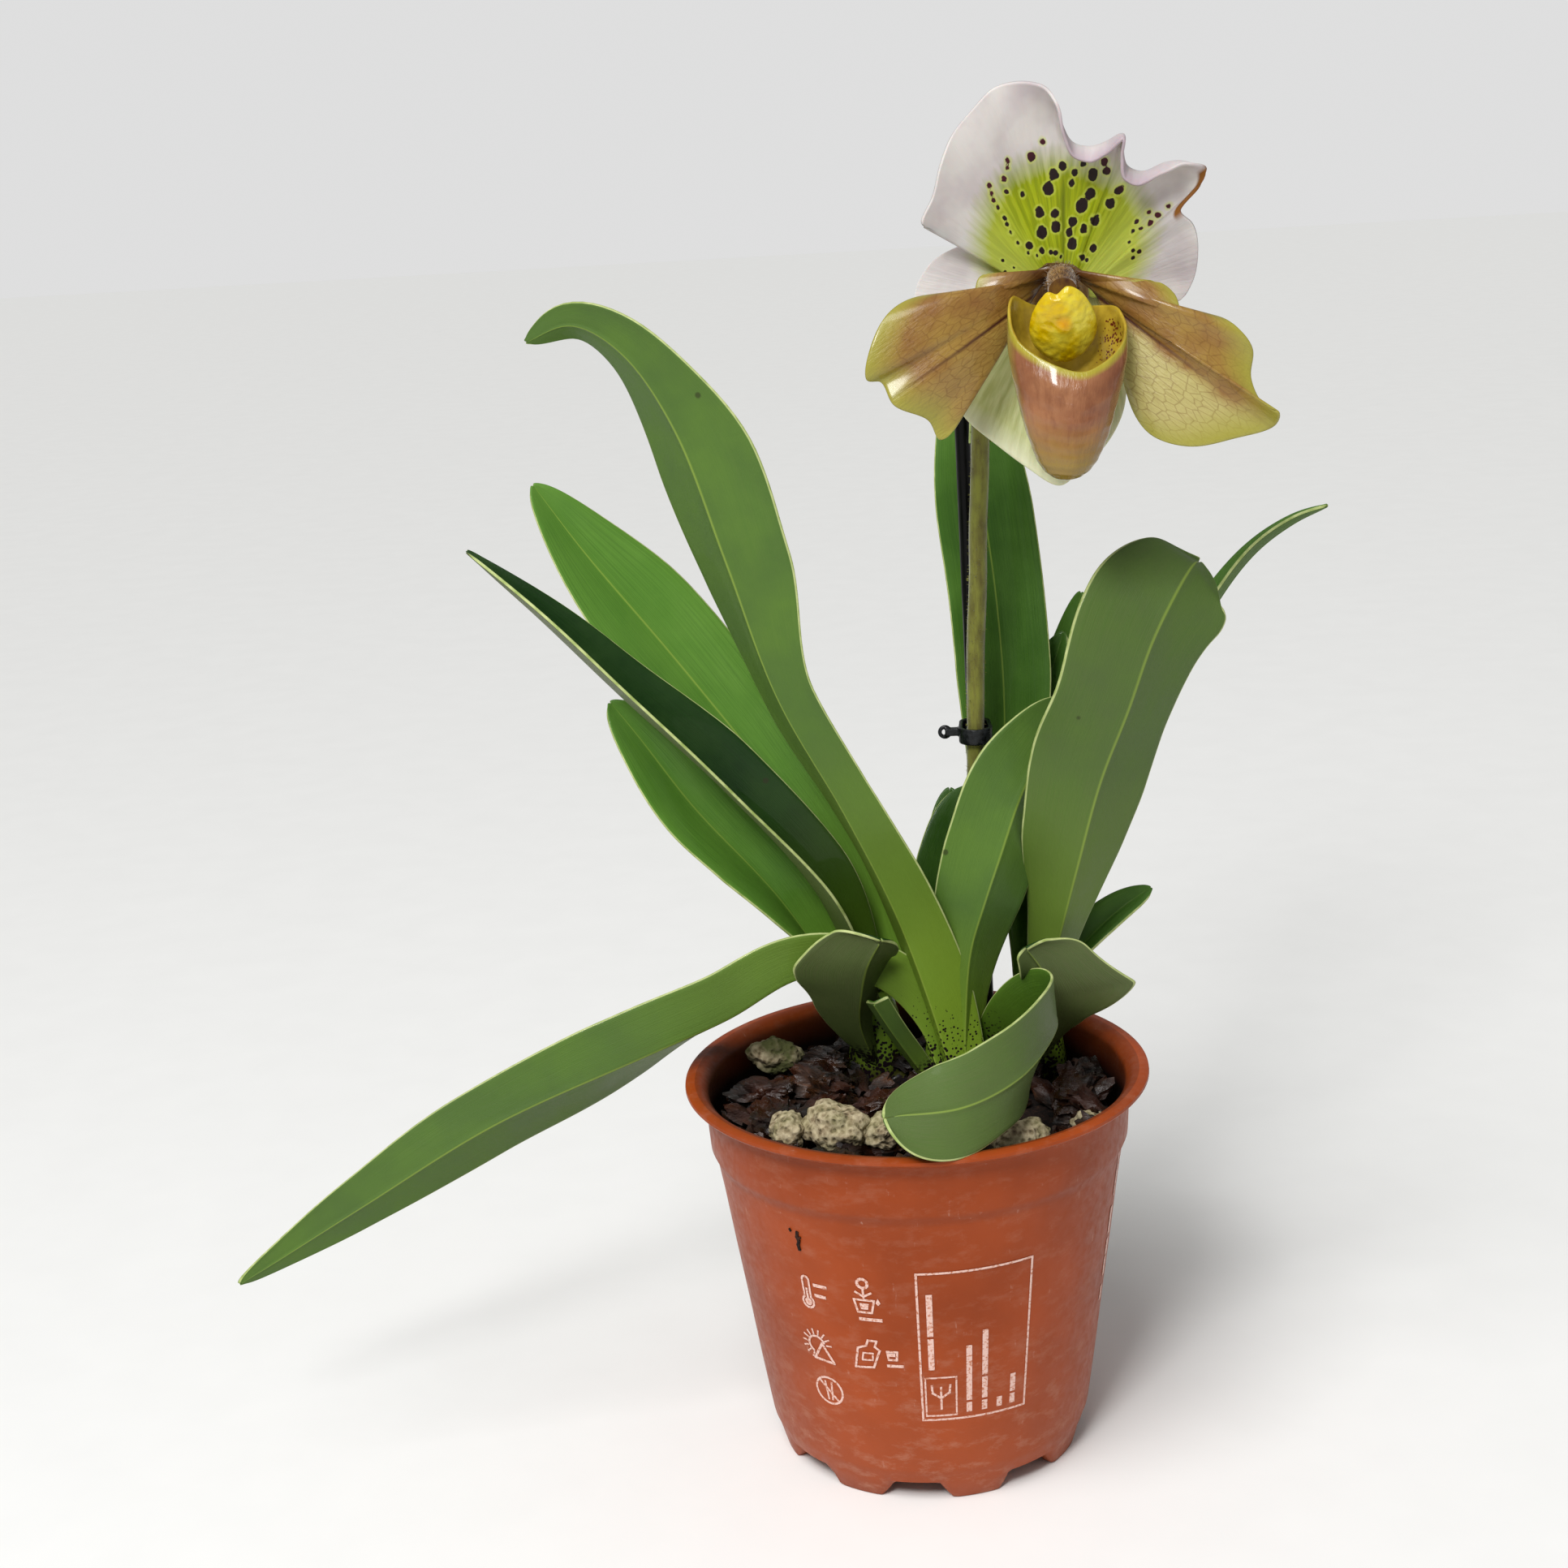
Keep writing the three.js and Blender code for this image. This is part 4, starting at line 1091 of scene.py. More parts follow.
def sheathSkin():
    material = newMaterial("growthSheath", 0.42, Coat_Weight=0.1)
    spots = place(material)
    height = addNode(material, "ShaderNodeSeparateXYZ", {"Vector": spots}).outputs[2]
    level = calc(material, "DIVIDE", minus(material, height, barkLevel), 30 * mm)
    streaks = mottle(material, place(material, (1, 1, 0.12)), 500, 3)
    colour = stops(material, plus(material, level, times(material, streaks, 0.3)),
                   (0.1, "3a3a16"), (0.42, "6f8c30"), (0.8, "8bab42"))
    colour = blend(material, purpleSpeckles(material, spots), colour, "160c12")
    return wire(material, colour, None, streaks, 0.4, 0.0005)


def makeCrown():
    parts = []
    reach = growthShape["depth"] + growthShape["rise"]
    for at, low, (wide, deep) in growthShape["bases"]:
        middle = planted((*at, -growthShape["depth"]))
        rows = [(0.3, 0), (0.8, 0.01), (1, 0.08), (1.04, 0.2), (1.02, 0.35), (0.92, 0.5), (0.8, 0.65),
                (0.64, 0.8), (0.48, 0.9), (0.34, 0.96), (0.12, 1)]
        base = turn([(share, rise * reach) for share, rise in rows], 48, middle, middle.z)
        for vertex in base.data.vertices:
            side = vertex.co - middle
            rise = side.z / (reach * mm)
            angle = math.atan2(side.y, side.x)
            sheath = 1 + 0.05 * math.cos(2 * angle + rise * 2)
            sheath += 0.035 * abs(math.sin(2.5 * angle + 1 + at[0]))
            broad = (low + (wide - low) * rise) * sheath
            slim = (low + (deep - low) * rise) * sheath
            vertex.co.x = middle.x + side.x * broad
            vertex.co.y = middle.y + side.y * slim
        keepInside(base)
        parts.append(base)
    for start, end in growthShape["links"]:
        middle = ((start[0] + end[0]) / 2, (start[1] + end[1]) / 2, -6)
        parts.append(tube([(*start, -5), middle, (*end, -5)], growthShape["rhizome"]))
    crown = join(parts)
    makeWhole(crown, growthShape["fineness"])
    applyAll(crown)
    return hand(crown, "crown", "crown", "crown", materials=[sheathSkin()])


makeCrown()
print("crown done")

# Flower stem with its fine hairs, the stick behind it and the clip that ties them
stemShape = {
    "path": [(15, 24, 20), (18.5, 24, 70), (20, 24, 110), (22, 23, 150), (23.5, 21, 176)],
    "radius": 2.3,
    "ovary": [(23.7, 20.6, 177.5), (27, 16, 190), (33, 7, 201), (39, 0, 205)],
    "ovaryRadius": 3.1,
    "stickFoot": (20, 31, 0),
    "stickTop": (19, 30, 193),
    "stickRadius": 2.0,
    "stickDepth": 60,
    "hairs": 1500,
    "ovaryHairs": 320,
    "hairLength": 0.75,
}
clipShape = {
    "rise": 94.5,            # its middle above the bark
    "height": 4.2,
    "wall": 1.1,
    "room": 1.0,             # between the clip's band and the stem or the stick
    "tab": (4.4, 2.4, 2.0),
    "hookRadius": 1.35,
    "hookWire": 0.55,
    "fineness": 0.22,
}


def hairySkin(name, light, dark):
    material = newMaterial(name, 0.62, Sheen_Weight=0.35)
    streaks = mottle(material, place(material, (1, 1, 0.2)), 700, 4)
    cloud = mottle(material, place(material), 110, 4)
    colour = stops(material, plus(material, times(material, streaks, 0.5),
                                  times(material, cloud, 0.5)), (0.38, dark), (0.62, light))
    return wire(material, colour, None, streaks, 0.6, 0.0005)


def sprinkleHairs(points, radius, count, length):
    line = evenLine([planted(point) for point in points])
    mesh = bmesh.new()
    for _ in range(count):
        share = dice.random()
        spot = readLine(line, share)
        tangent = (readLine(line, share + 0.01) - readLine(line, share - 0.01)).normalized()
        side = tangent.orthogonal().normalized()
        side.rotate(Matrix.Rotation(dice.uniform(0, 2 * math.pi), 3, tangent))
        foot = spot + side * radius * 0.96 * mm
        lean = (side + tangent * dice.uniform(-0.4, 0.7)).normalized()
        top = foot + lean * length * dice.uniform(0.6, 1.1) * mm
        cross = side.cross(tangent) * 0.07 * mm
        corners = [mesh.verts.new(foot + cross), mesh.verts.new(foot - cross),
                   mesh.verts.new(foot + tangent * 0.12 * mm), mesh.verts.new(top)]
        for a, b, c in ((0, 1, 3), (1, 2, 3), (2, 0, 3), (0, 2, 1)):
            mesh.faces.new((corners[a], corners[b], corners[c]))
    bmesh.ops.recalc_face_normals(mesh, faces=mesh.faces)
    return mesh


def addHairs(piece, points, radius, count, length):
    hairs = sprinkleHairs(points, radius, count, length)
    hairs.from_mesh(piece.data)
    hairs.to_mesh(piece.data)
    hairs.free()


def makeStem():
    stem = tube(stemShape["path"], stemShape["radius"], 6)
    for vertex in stem.data.vertices:                       # the stem is never quite even
        spot = vertex.co * 60
        vertex.co.xy += Vector((noise.noise(spot), noise.noise(spot + Vector((5, 5, 5))))) * 0.35 * mm
    addHairs(stem, stemShape["path"], stemShape["radius"], stemShape["hairs"], stemShape["hairLength"])
    hand(stem, "flowerStem", "flower_stem", "flower_stem",
         materials=[hairySkin("stemSkin", "7d7f34", "5a5423")], smooth=60)
    ovary = tube(stemShape["ovary"], stemShape["ovaryRadius"], 6)
    line = evenLine([planted(point) for point in stemShape["ovary"]])
    for vertex in ovary.data.vertices:                      # six ribs run along it
        near = min(line, key=lambda point: (point - vertex.co).length)
        side = vertex.co - near
        angle = math.atan2(side.z, side.x)
        vertex.co = near + side * (1 + 0.07 * math.cos(6 * angle))
    addHairs(ovary, stemShape["ovary"], stemShape["ovaryRadius"], stemShape["ovaryHairs"],
             stemShape["hairLength"])
    hand(ovary, "ovary", "ovary", "ovary", materials=[hairySkin("ovarySkin", "77803a", "54501f")], smooth=60)


def makeStick():
    foot, top = Vector(stemShape["stickFoot"]), Vector(stemShape["stickTop"])
    low = foot + (foot - top).normalized() * stemShape["stickDepth"]
    stick = tube([low, foot.lerp(top, 0.5), top], stemShape["stickRadius"], 5)
    edge = stick.modifiers.new("edge", 'BEVEL')
    edge.width = 0.5 * mm
    edge.segments = 3
    edge.limit_method = 'ANGLE'
    edge.angle_limit = math.radians(50)
    applyAll(stick)
    plastic = newMaterial("stickPlastic", 0.45, Specular_IOR_Level=0.15)
    scuffs = mottle(plastic, place(plastic, (1, 1, 0.1)), 900, 4)
    wire(plastic, stops(plastic, scuffs, (0.4, "040404"), (0.7, "0c0b0a")),
         stops(plastic, scuffs, (0.4, 0.3), (0.7, 0.55)), scuffs, 0.3, 0.0003)
    hand(stick, "supportStick", "support_stick", "support_stick", materials=[plastic], smooth=40)


def makeClip():
    line = evenLine([planted(point) for point in stemShape["path"]])
    level = barkLevel + clipShape["rise"] * mm
    stem = min(line, key=lambda point: abs(point.z - level))
    foot, top = planted(stemShape["stickFoot"]), planted(stemShape["stickTop"])
    stick = foot.lerp(top, (level - foot.z) / (top.z - foot.z))
    apart = (stick - stem).to_2d()
    heading = math.atan2(apart.y, apart.x)
    outline = []
    for centre, radius, start in ((stem, stemShape["radius"] + clipShape["room"], heading + math.pi / 2),
                                  (stick, stemShape["stickRadius"] + clipShape["room"],
                                   heading - math.pi / 2)):
        for i in range(17):
            angle = start + math.pi * i / 16
            outline.append((centre.x + radius * mm * math.cos(angle),
                            centre.y + radius * mm * math.sin(angle)))
    deselect()
    bpy.ops.mesh.primitive_circle_add(vertices=len(outline), radius=0.01, location=(0, 0, 0))
    clip = bpy.context.object
    low = level - clipShape["height"] / 2 * mm
    for vertex, (x, y) in zip(clip.data.vertices, outline):
        vertex.co = (x, y, low)
    bpy.ops.object.mode_set(mode='EDIT')
    bpy.ops.mesh.select_all(action='SELECT')
    bpy.ops.mesh.extrude_region_move(TRANSFORM_OT_translate={"value": (0, 0, clipShape["height"] * mm)})
    bpy.ops.mesh.select_all(action='SELECT')
    bpy.ops.mesh.normals_make_consistent(inside=False)
    bpy.ops.object.mode_set(mode='OBJECT')
    thicken(clip, clipShape["wall"] * mm, offset=1.0)
    left = min(x for x, _ in outline)
    deselect()
    spot = (left - 2.4 * mm, (stem.y + stick.y) / 2 - 0.6 * mm, level + 0.3 * mm)
    bpy.ops.mesh.primitive_cube_add(size=1, location=spot)   # the finger tab, with a hook at its end
    tab = bpy.context.object
    tab.scale = Vector(clipShape["tab"]) * mm
    settle(tab)
    deselect()
    hookAt = (left - 4.6 * mm, spot[1], level + 0.3 * mm)
    bpy.ops.mesh.primitive_torus_add(major_radius=clipShape["hookRadius"] * mm,
                                     minor_radius=clipShape["hookWire"] * mm, major_segments=28,
                                     minor_segments=12, location=hookAt, rotation=(math.pi / 2, 0, 0))
    hook = bpy.context.object
    settle(hook)
    clip = join([clip, tab, hook])
    makeWhole(clip, clipShape["fineness"])
    smooth = clip.modifiers.new("soft", 'SMOOTH')
    smooth.factor = 0.5
    smooth.iterations = 6
    applyAll(clip)
    plastic = newMaterial("clipPlastic", 0.34)
    scuffs = mottle(plastic, place(plastic), 900, 4)
    wire(plastic, stops(plastic, scuffs, (0.4, "101112"), (0.7, "26282a")),
         stops(plastic, scuffs, (0.4, 0.26), (0.7, 0.5)), scuffs, 0.2, 0.0003)
    hand(clip, "stemClip", "stem_clip", "stem_clip", materials=[plastic])


makeStem()
makeStick()
makeClip()
print("stem, stick and clip done")

# Flower: its pieces count from the heart, where they join
heart = (43, -8, 202)


def blossom(point):
    return planted([a + b for a, b in zip(heart, point)])


def flatPlace(shape, spot):
    x, z = spot.x, spot.z
    if "fan" in shape:                                      # angle and reach round a point
        x, z = x - shape["fan"][0], z - shape["fan"][1]
        return 0.5 + math.atan2(x, z) / math.pi, math.hypot(x, z) / 50
    (ax, az), (bx, bz) = shape["line"]                      # distance beside and along a line
    along = Vector((bx - ax, bz - az)).normalized()
    away = Vector((x - ax, z - az))
    return 0.5 + along.cross(away) / 40, along.dot(away) / 50


sheetThickness = 0.7


def bendSheet(piece, shape):
    left, right = [blossom(point) for point in shape["claw"]]
    edge = smoothLine([blossom(point[:3]) for point in shape["margin"]])
    curls = [point[3] if len(point) > 3 else 0 for point in shape["margin"]]
    rollAt = shape.get("rollAt", 0.8)
    front = Vector((0, -1, 0))
    centre = blossom((0, 0, 0))
    flat = []
    for vertex in piece.data.vertices:
        across, out = (vertex.co.x + 1) / 2, (vertex.co.y + 1) / 2
        root = left.lerp(right, across)
        ray = readLine(edge, across) - root
        curl = math.radians(spaced(curls, across))
        hump = shape["bow"] * math.sin(math.pi * out) * math.sin(math.pi * across)
        ripple = shape["pleats"] * math.sin(2 * math.pi * shape["pleatCount"] * across) * out ** 2.5
        if abs(curl) > 0.02:
            reach = rollAt + (1 - rollAt) * math.sin(min(abs(curl), math.pi / 2)) / abs(curl)
            ray = ray / reach
        flat.append(flatPlace(shape, (root + ray * out - centre) / mm))
        if out > rollAt and abs(curl) > 0.02:
            share = (out - rollAt) / (1 - rollAt)
            arm = ray.length * (1 - rollAt) / abs(curl)
            ahead = (front - ray * front.dot(ray) / ray.length_squared).normalized() * math.copysign(1, curl)
            spot = root + ray * rollAt + ray.normalized() * arm * math.sin(abs(curl) * share)
            spot += ahead * arm * (1 - math.cos(curl * share))
        else:
            spot = root + ray * out
        vertex.co = spot + Vector((0, hump + ripple, 0)) * mm
    if "spots" in shape:
        inked = piece.data.attributes.new("spotEdge", 'FLOAT', 'POINT')
        inked.data.foreach_set("value", [spotEdge(spot, shape["spots"]) for spot in flat])
    layer = piece.data.uv_layers.new(name="flat")
    for loop in piece.data.loops:
        layer.data[loop.index].uv = flat[loop.vertex_index]


def growSheet(node, shape, material, slotName):
    piece = bentGrid(*shape["grid"])
    bendSheet(piece, shape)
    middle = piece.data.polygons[len(piece.data.polygons) // 2]
    if middle.normal.y > 0:
        piece.data.flip_normals()
    thicken(piece, sheetThickness * mm)
    if shape.get("soft", True):
        subdivide(piece)
    return hand(piece, pieceName(node), slotName, node, materials=[material])


# A margin point's fourth value is how far the margin rolls over there, in degrees
sepalShape = {
    "claw": [(-7, 4, 6), (7, 4, 5)],
    "margin": [(-35.3, 8, 6.2), (-33.8, 8, 10.5), (-30.3, 8, 15), (-24.4, 8, 17.9), (-17.5, 7, 19.5),
               (-21.4, 3, 22.3), (-32.9, -3, 24.1, 15), (-30, -4, 30.4), (-27.9, -5, 37.6),
               (-24.8, -5, 43.7, -15), (-20, -6, 48.9, -20), (-15.3, -6, 53.1, -20), (-10.1, -6, 54.6),
               (-4.2, -6, 53.9, 40), (-1.5, -6, 50.5, 90), (-0.1, -5, 45.1, 130), (2.4, -4, 41, 160),
               (6.7, -4, 39.8, 170), (10.3, -5, 40.9, 150), (13.8, -8, 42.9, 110), (13.7, -6, 38.9, 120),
               (14.8, -5, 35.2, 160), (18.5, -5, 33.6, 170), (24, -6, 35.5, 150), (28.5, -7, 35.8, 90),
               (32.4, -8, 33.8, 30), (31.2, -7, 29.8), (26.6, -6, 24.1), (29.6, -4, 20.7), (30.8, -3, 16.9),
               (30.8, -1, 10.4), (29.6, 0, 6.6), (27.2, 1, 3.3), (22.6, 3, 2.7)],
    "fan": (0, 3),
    "bow": 5, "pleats": 0.3, "pleatCount": 9, "grid": (300, 108), "rollAt": 0.78, "soft": False,
    "white": "d6d1cd", "shade": "c2b9ba", "green": "83900a", "pale": "a5b02a", "spot": "1d0d0c",
    "dead": "8a5a2a",
    # each spot: degrees from upright round the fan's centre, reach and size in millimetres
    "spots": [(-79, 22, 0.9), (-57, 16, 1.0), (-51, 18, 0.9), (-50, 15, 0.9), (-34, 18.5, 1.4),
              (-34, 21.5, 1.3), (-33, 23.5, 1.4), (-32, 15, 1.2), (-32, 25, 1.4), (-32, 28, 1.4),
              (-32, 30, 1.2), (-31, 31.5, 1.3), (-30, 33.5, 1.3), (-28, 16.5, 1.9), (-26, 13.5, 1.1),
              (-25, 30, 1.4), (-24, 33, 1.6), (-21, 35, 1.3), (-20, 14, 1.7), (-20, 36.5, 1.8),
              (-19, 28, 1.7), (-15, 18, 3.1), (-13, 22.5, 2.7), (-12, 13, 1.4), (-11, 35.5, 2.3),
              (-7, 12.5, 1.4), (-6, 27.5, 3.3), (-6, 38.5, 1.6), (-4, 18.5, 2.7), (-4, 21.5, 2.2),
              (-3, 30.5, 2.7), (-2, 11.5, 1.1), (1, 32.5, 2.2), (5, 28.5, 1.7), (6, 17, 2.2), (6, 31, 1.9),
              (8, 19.5, 2.5), (9, 33, 1.7), (10, 14.5, 2.9), (12, 23.5, 3.6), (14, 31, 2.9),
              (15, 26.5, 2.9), (17, 18.5, 2.3), (17, 34.5, 2.1), (19, 32.5, 1.8), (22, 21, 2.7),
              (23, 12, 1.7), (26, 26, 2.7), (27, 29.5, 2.4), (29, 12, 1.1), (29, 15, 2.1), (43, 25.5, 1.6),
              (44, 29, 1.2), (45, 23.5, 1.3), (47, 25, 1.3), (48, 21, 1.1), (48, 27.5, 1.6), (48, 30, 1.6),
              (48, 33, 1.3), (53, 20.5, 1.0), (56, 21.5, 1.3), (57, 19.5, 1.1), (64, 12, 1.0)],
}


def spotEdge(place, spots):                                 # millimetres inside the nearest spot's edge
    angle, reach = (place[0] - 0.5) * math.pi, place[1] * 50
    best = -3.0
    for turnBy, far, size in spots:
        away = far - reach
        if abs(away) < 5:
            beside = (angle - math.radians(turnBy)) * reach
            best = max(best, size * 0.44 - math.hypot(beside, away * 0.82))
    return best


def sepalPaint():
    material = newMaterial("dorsalSepalWhite", 0.5, Subsurface_Weight=0.12, Subsurface_Scale=0.002)
    angle, reach = spread(material, "flat")
    across, out = spread(material, "spread")
    spots = place(material)
    cloud = mottle(material, spots, 70, 3)
    veins = mottle(material, place(material, (52, 2.4, 1), "flat"), 1.6, 3, 0.5)
    white = stops(material, cloud, (0.35, sepalShape["shade"]), (0.58, sepalShape["white"]))
    aside = calc(material, "ABSOLUTE", minus(material, angle, 0.5))
    far = plus(material, reach, times(material, calc(material, "POWER", aside, 2.0), 2.0))
    far = plus(material, far, times(material, minus(material, veins, 0.5), 0.12))
    far = plus(material, far, times(material, minus(material, cloud, 0.5), 0.08))
    green = blend(material, stops(material, veins, (0.42, 0.0), (0.6, 0.8)), sepalShape["green"],
                  sepalShape["pale"])
    green = blend(material, stops(material, aside, (0.12, 0.0), (0.36, 0.85)), green, "bfc765")
    colour = blend(material, stops(material, far, (0.6, 1.0), (0.68, 0.55), (0.76, 0.0)), white, green)
    middle = times(material, within(material, angle, 0.506, 0.003, 0.01),
                  stops(material, reach, (0.5, 0.7), (0.66, 0.0)))
    colour = blend(material, middle, colour, "5f6a0c")
    warp = mottle(material, spots, 500, 2)
    edge = plus(material, attribute(material, "spotEdge"), times(material, minus(material, warp, 0.5), 1.1))
    colour = blend(material, stops(material, plus(material, edge, 0.5), (0.0, 0.0), (0.4, 0.5)), colour,
                   "c3cc5e")
    ink = blend(material, stops(material, plus(material, reach, aside), (0.72, 0.0), (0.8, 1.0)),
                sepalShape["spot"], "42101f")
    colour = blend(material, stops(material, edge, (0.0, 0.0), (0.16, 1.0)), colour, ink)
    rolled = times(material, stops(material, out, (0.9, 0.0), (0.99, 0.5)),
                  within(material, across, 0.57, 0.1, 0.04))
    colour = blend(material, rolled, colour, "8f6b86")
    dead = times(material, stops(material, out, (0.93, 0.0), (0.955, 1.0)),
                within(material, across, 0.79, 0.03, 0.012))
    colour = blend(material, dead, colour, sepalShape["dead"])
    return wire(material, colour, None, plus(material, veins, times(material, cloud, 0.4)), 0.3, 0.0006)


petalShapes = {
    "petal_left": {
        "claw": [(0, -2, 13.5), (-9, -2, 5)],
        "margin": [(-4, -3, 13.6), (-9, -3, 10.6), (-12.8, -3, 8.9), (-17.8, -6, 12), (-20.3, -7, 11.1),
                   (-22.1, -7, 6.9), (-28.2, -9, 8.1), (-38.4, -13, 6.9), (-43.9, -15, 2.2),
                   (-47.4, -18, -9.6), (-43.9, -17, -10.6), (-41.3, -17, -15.8), (-33.4, -15, -20),
                   (-31, -15, -24.8), (-27.8, -13, -23), (-27.1, -11, -15.1), (-25.3, -8, -6.9),
                   (-20.1, -4, 1.9), (-13, -2, 7.4)],
        "line": [(-5, 8), (-39.7, -13)],
        "bow": -4, "pleats": 1.1, "pleatCount": 6, "grid": (110, 46), "pale": 0.1,
    },
    "petal_right": {
        "claw": [(-2, -2, 13.5), (9, -2, 5)],
        "margin": [(2, -3, 13), (5.9, -5, 9.8), (11.5, -7, 7.1), (15.8, -9, 8.5), (21.3, -10, 8.1),
                   (24.5, -11, 5.4), (25.8, -12, 1.7), (28.2, -13, -0.2), (33.7, -14, 0), (38.1, -15, -2.4),
                   (41.6, -16, -7.6), (41.1, -17, -13.9), (43.1, -18, -19.5), (46.9, -20, -21.9),
                   (46.1, -19, -25.1), (36.7, -17, -27.7), (26.7, -15, -29.1), (18.5, -13, -26.5),
                   (14.2, -10, -19.8), (12.8, -7, -10.7), (11.4, -4, -1.5)],
        "line": [(2, 10), (34, -16)],
        "bow": -4, "pleats": 1.1, "pleatCount": 6, "grid": (120, 46), "pale": 0.9,
    },
}
petalColours = {"ochre": "97783c", "brown": "835c32", "pale": "b5ab70", "edge": "9a9440", "line": "3a1316"}


def petalPaint(node, paleness):
    material = newMaterial(pieceName(node) + "Skin", 0.34, Coat_Weight=0.5, Coat_Roughness=0.16)
    beside, along = spread(material, "flat")
    across, out = spread(material, "spread")
    spots = place(material)
    cloud = mottle(material, spots, 90, 4)
    veins = mottle(material, place(material, (34, 7, 1), "flat"), 1.7, 4, 0.6)
    stretched = place(material, (30, 16, 1), "flat")
    net = addNode(material, "ShaderNodeTexVoronoi", {"Vector": stretched, "Scale": 1.0},
                  voronoi_dimensions='2D', feature='DISTANCE_TO_EDGE').outputs["Distance"]
    colour = blend(material, stops(material, cloud, (0.35, 0.0), (0.65, 1.0)), petalColours["brown"],
                   petalColours["ochre"])
    side = minus(material, beside, 0.5) if node.endswith("left") else minus(material, 0.5, beside)
    pale = plus(material, side, times(material, minus(material, cloud, 0.5), 0.2))
    paler = stops(material, pale, (-0.04, 0.0), (0.08, paleness))
    colour = blend(material, paler, colour, petalColours["pale"])
    colour = blend(material, stops(material, veins, (0.52, 0.0), (0.66, 0.22)), colour, "6d4322")
    colour = blend(material, stops(material, net, (0.02, 0.38), (0.09, 0.0)), colour, "66421c")
    toMargin = calc(material, "MINIMUM", across, minus(material, 1.0, across))
    away = calc(material, "MINIMUM", minus(material, 1.0, out), times(material, toMargin, 3.0))
    colour = blend(material, stops(material, away, (0.03, 0.9), (0.2, 0.0)), colour, petalColours["edge"])
    line = times(material, within(material, beside, 0.5, 0.003, 0.012),
                stops(material, along, (0.3, 0.95), (0.85, 0.1)))
    colour = blend(material, line, colour, petalColours["line"])
    colour = blend(material, stops(material, along, (0.0, 0.85), (0.14, 0.0)), colour, "472313")
    height = plus(material, times(material, veins, 0.6), times(material, cloud, 1.6))
    return wire(material, colour, None, height, 0.45, 0.0009)


synsepalShape = {
    "claw": [(-9, 5, 8), (10, 5, 8)],
    "margin": [(-21.9, 8, 8.9), (-23.4, 7, -4.3), (-26.4, 5, -17.5), (-24.2, 3, -22.2), (-17.7, 1, -28.1),
               (-10.3, -2, -33.9), (-2.6, -4, -38.5), (2.2, -3, -35.4), (9.3, 0, -29.4), (13.6, 3, -22.2),
               (14.6, 6, -12), (13.5, 8, -2.6)],
    "line": [(-2, 3), (-4, -38)],
    "bow": 3, "pleats": 0.2, "pleatCount": 8, "grid": (90, 40),
}


def synsepalPaint():
    material = newMaterial("synsepalGreen", 0.42, Subsurface_Weight=0.1, Subsurface_Scale=0.002)
    _, out = spread(material, "spread")
    veins = mottle(material, place(material, (24, 1.6, 1), "spread"), 2.2, 3)
    colour = stops(material, veins, (0.36, "a9ad6e"), (0.62, "c4c890"))
    colour = blend(material, stops(material, out, (0.86, 0.0), (0.98, 0.6)), colour, "dcdcc4")
    return wire(material, colour, None, veins, 0.35, 0.0005)


# Slipper: an open cup that leans back, with a slanting mouth and two small ears beside the shield
pouchShape = {
    "toe": (-2.2, -24, -34.2),
    "middle": (-0.5, -15),
    "mouth": [(1.8, -26, -9.4), (7.5, -24, -7.4), (11.7, -20, -4), (13, -16, -0.6), (11.8, -10, 3.2),
              (7, -4.5, 3.5), (0, -2.5, 3), (-8, -4.5, 4.5), (-13.2, -9, 7), (-14, -16, 0.9),
              (-11.3, -21, -3.4), (-4.5, -25, -7.6)],
    "grid": (120, 48),
    "thickness": 0.8,
    "widths": [0.02, 0.25, 0.41, 0.53, 0.62, 0.71, 0.79, 0.87, 0.95, 1.01, 0.99],
    "rimColour": "a59a3a",
}


def makePouch():
    piece = bentGrid(*pouchShape["grid"])
    toe = Vector(pouchShape["toe"])
    middle = Vector((*pouchShape["middle"], 0))
    mouth = pouchShape["mouth"]
    ring = smoothLine(mouth[-2:] + mouth + mouth[:3])
    ring = ring[80 * 2:80 * (len(mouth) + 2) + 1]
    for vertex in piece.data.vertices:
        rise = (vertex.co.y + 1) / 2
        height = rise ** 1.6
        rim = readLine(ring, ((vertex.co.x + 1) / 2 + 0.5) % 1.0)
        core = toe.lerp(middle, height)
        side = (rim - middle).to_2d() * spaced(pouchShape["widths"], rise)
        side *= 1 + 0.02 * noise.noise(Vector((rim.x * 0.3, rise * 5, rim.y * 0.3)))
        spot = Vector((core.x + side.x, core.y + side.y, toe.z + (rim.z - toe.z) * height))
        vertex.co = blossom(spot)
    pick(piece)
    bpy.ops.object.mode_set(mode='EDIT')
    bpy.ops.mesh.select_all(action='SELECT')
    bpy.ops.mesh.remove_doubles(threshold=0.00002)
    bpy.ops.object.mode_set(mode='OBJECT')
    inside = blossom((-1.5, -18, -15))
    face = piece.data.polygons[len(piece.data.polygons) // 2]
    if face.normal.dot(face.center - inside) < 0:
        piece.data.flip_normals()
    piece.data.materials.append(pouchSkin())
    piece.data.materials.append(pouchLining())
    thicken(piece, pouchShape["thickness"] * mm, back=1, rim=1, offset=-1)
    subdivide(piece)
    return hand(piece, "pouch", "pouch", "pouch")


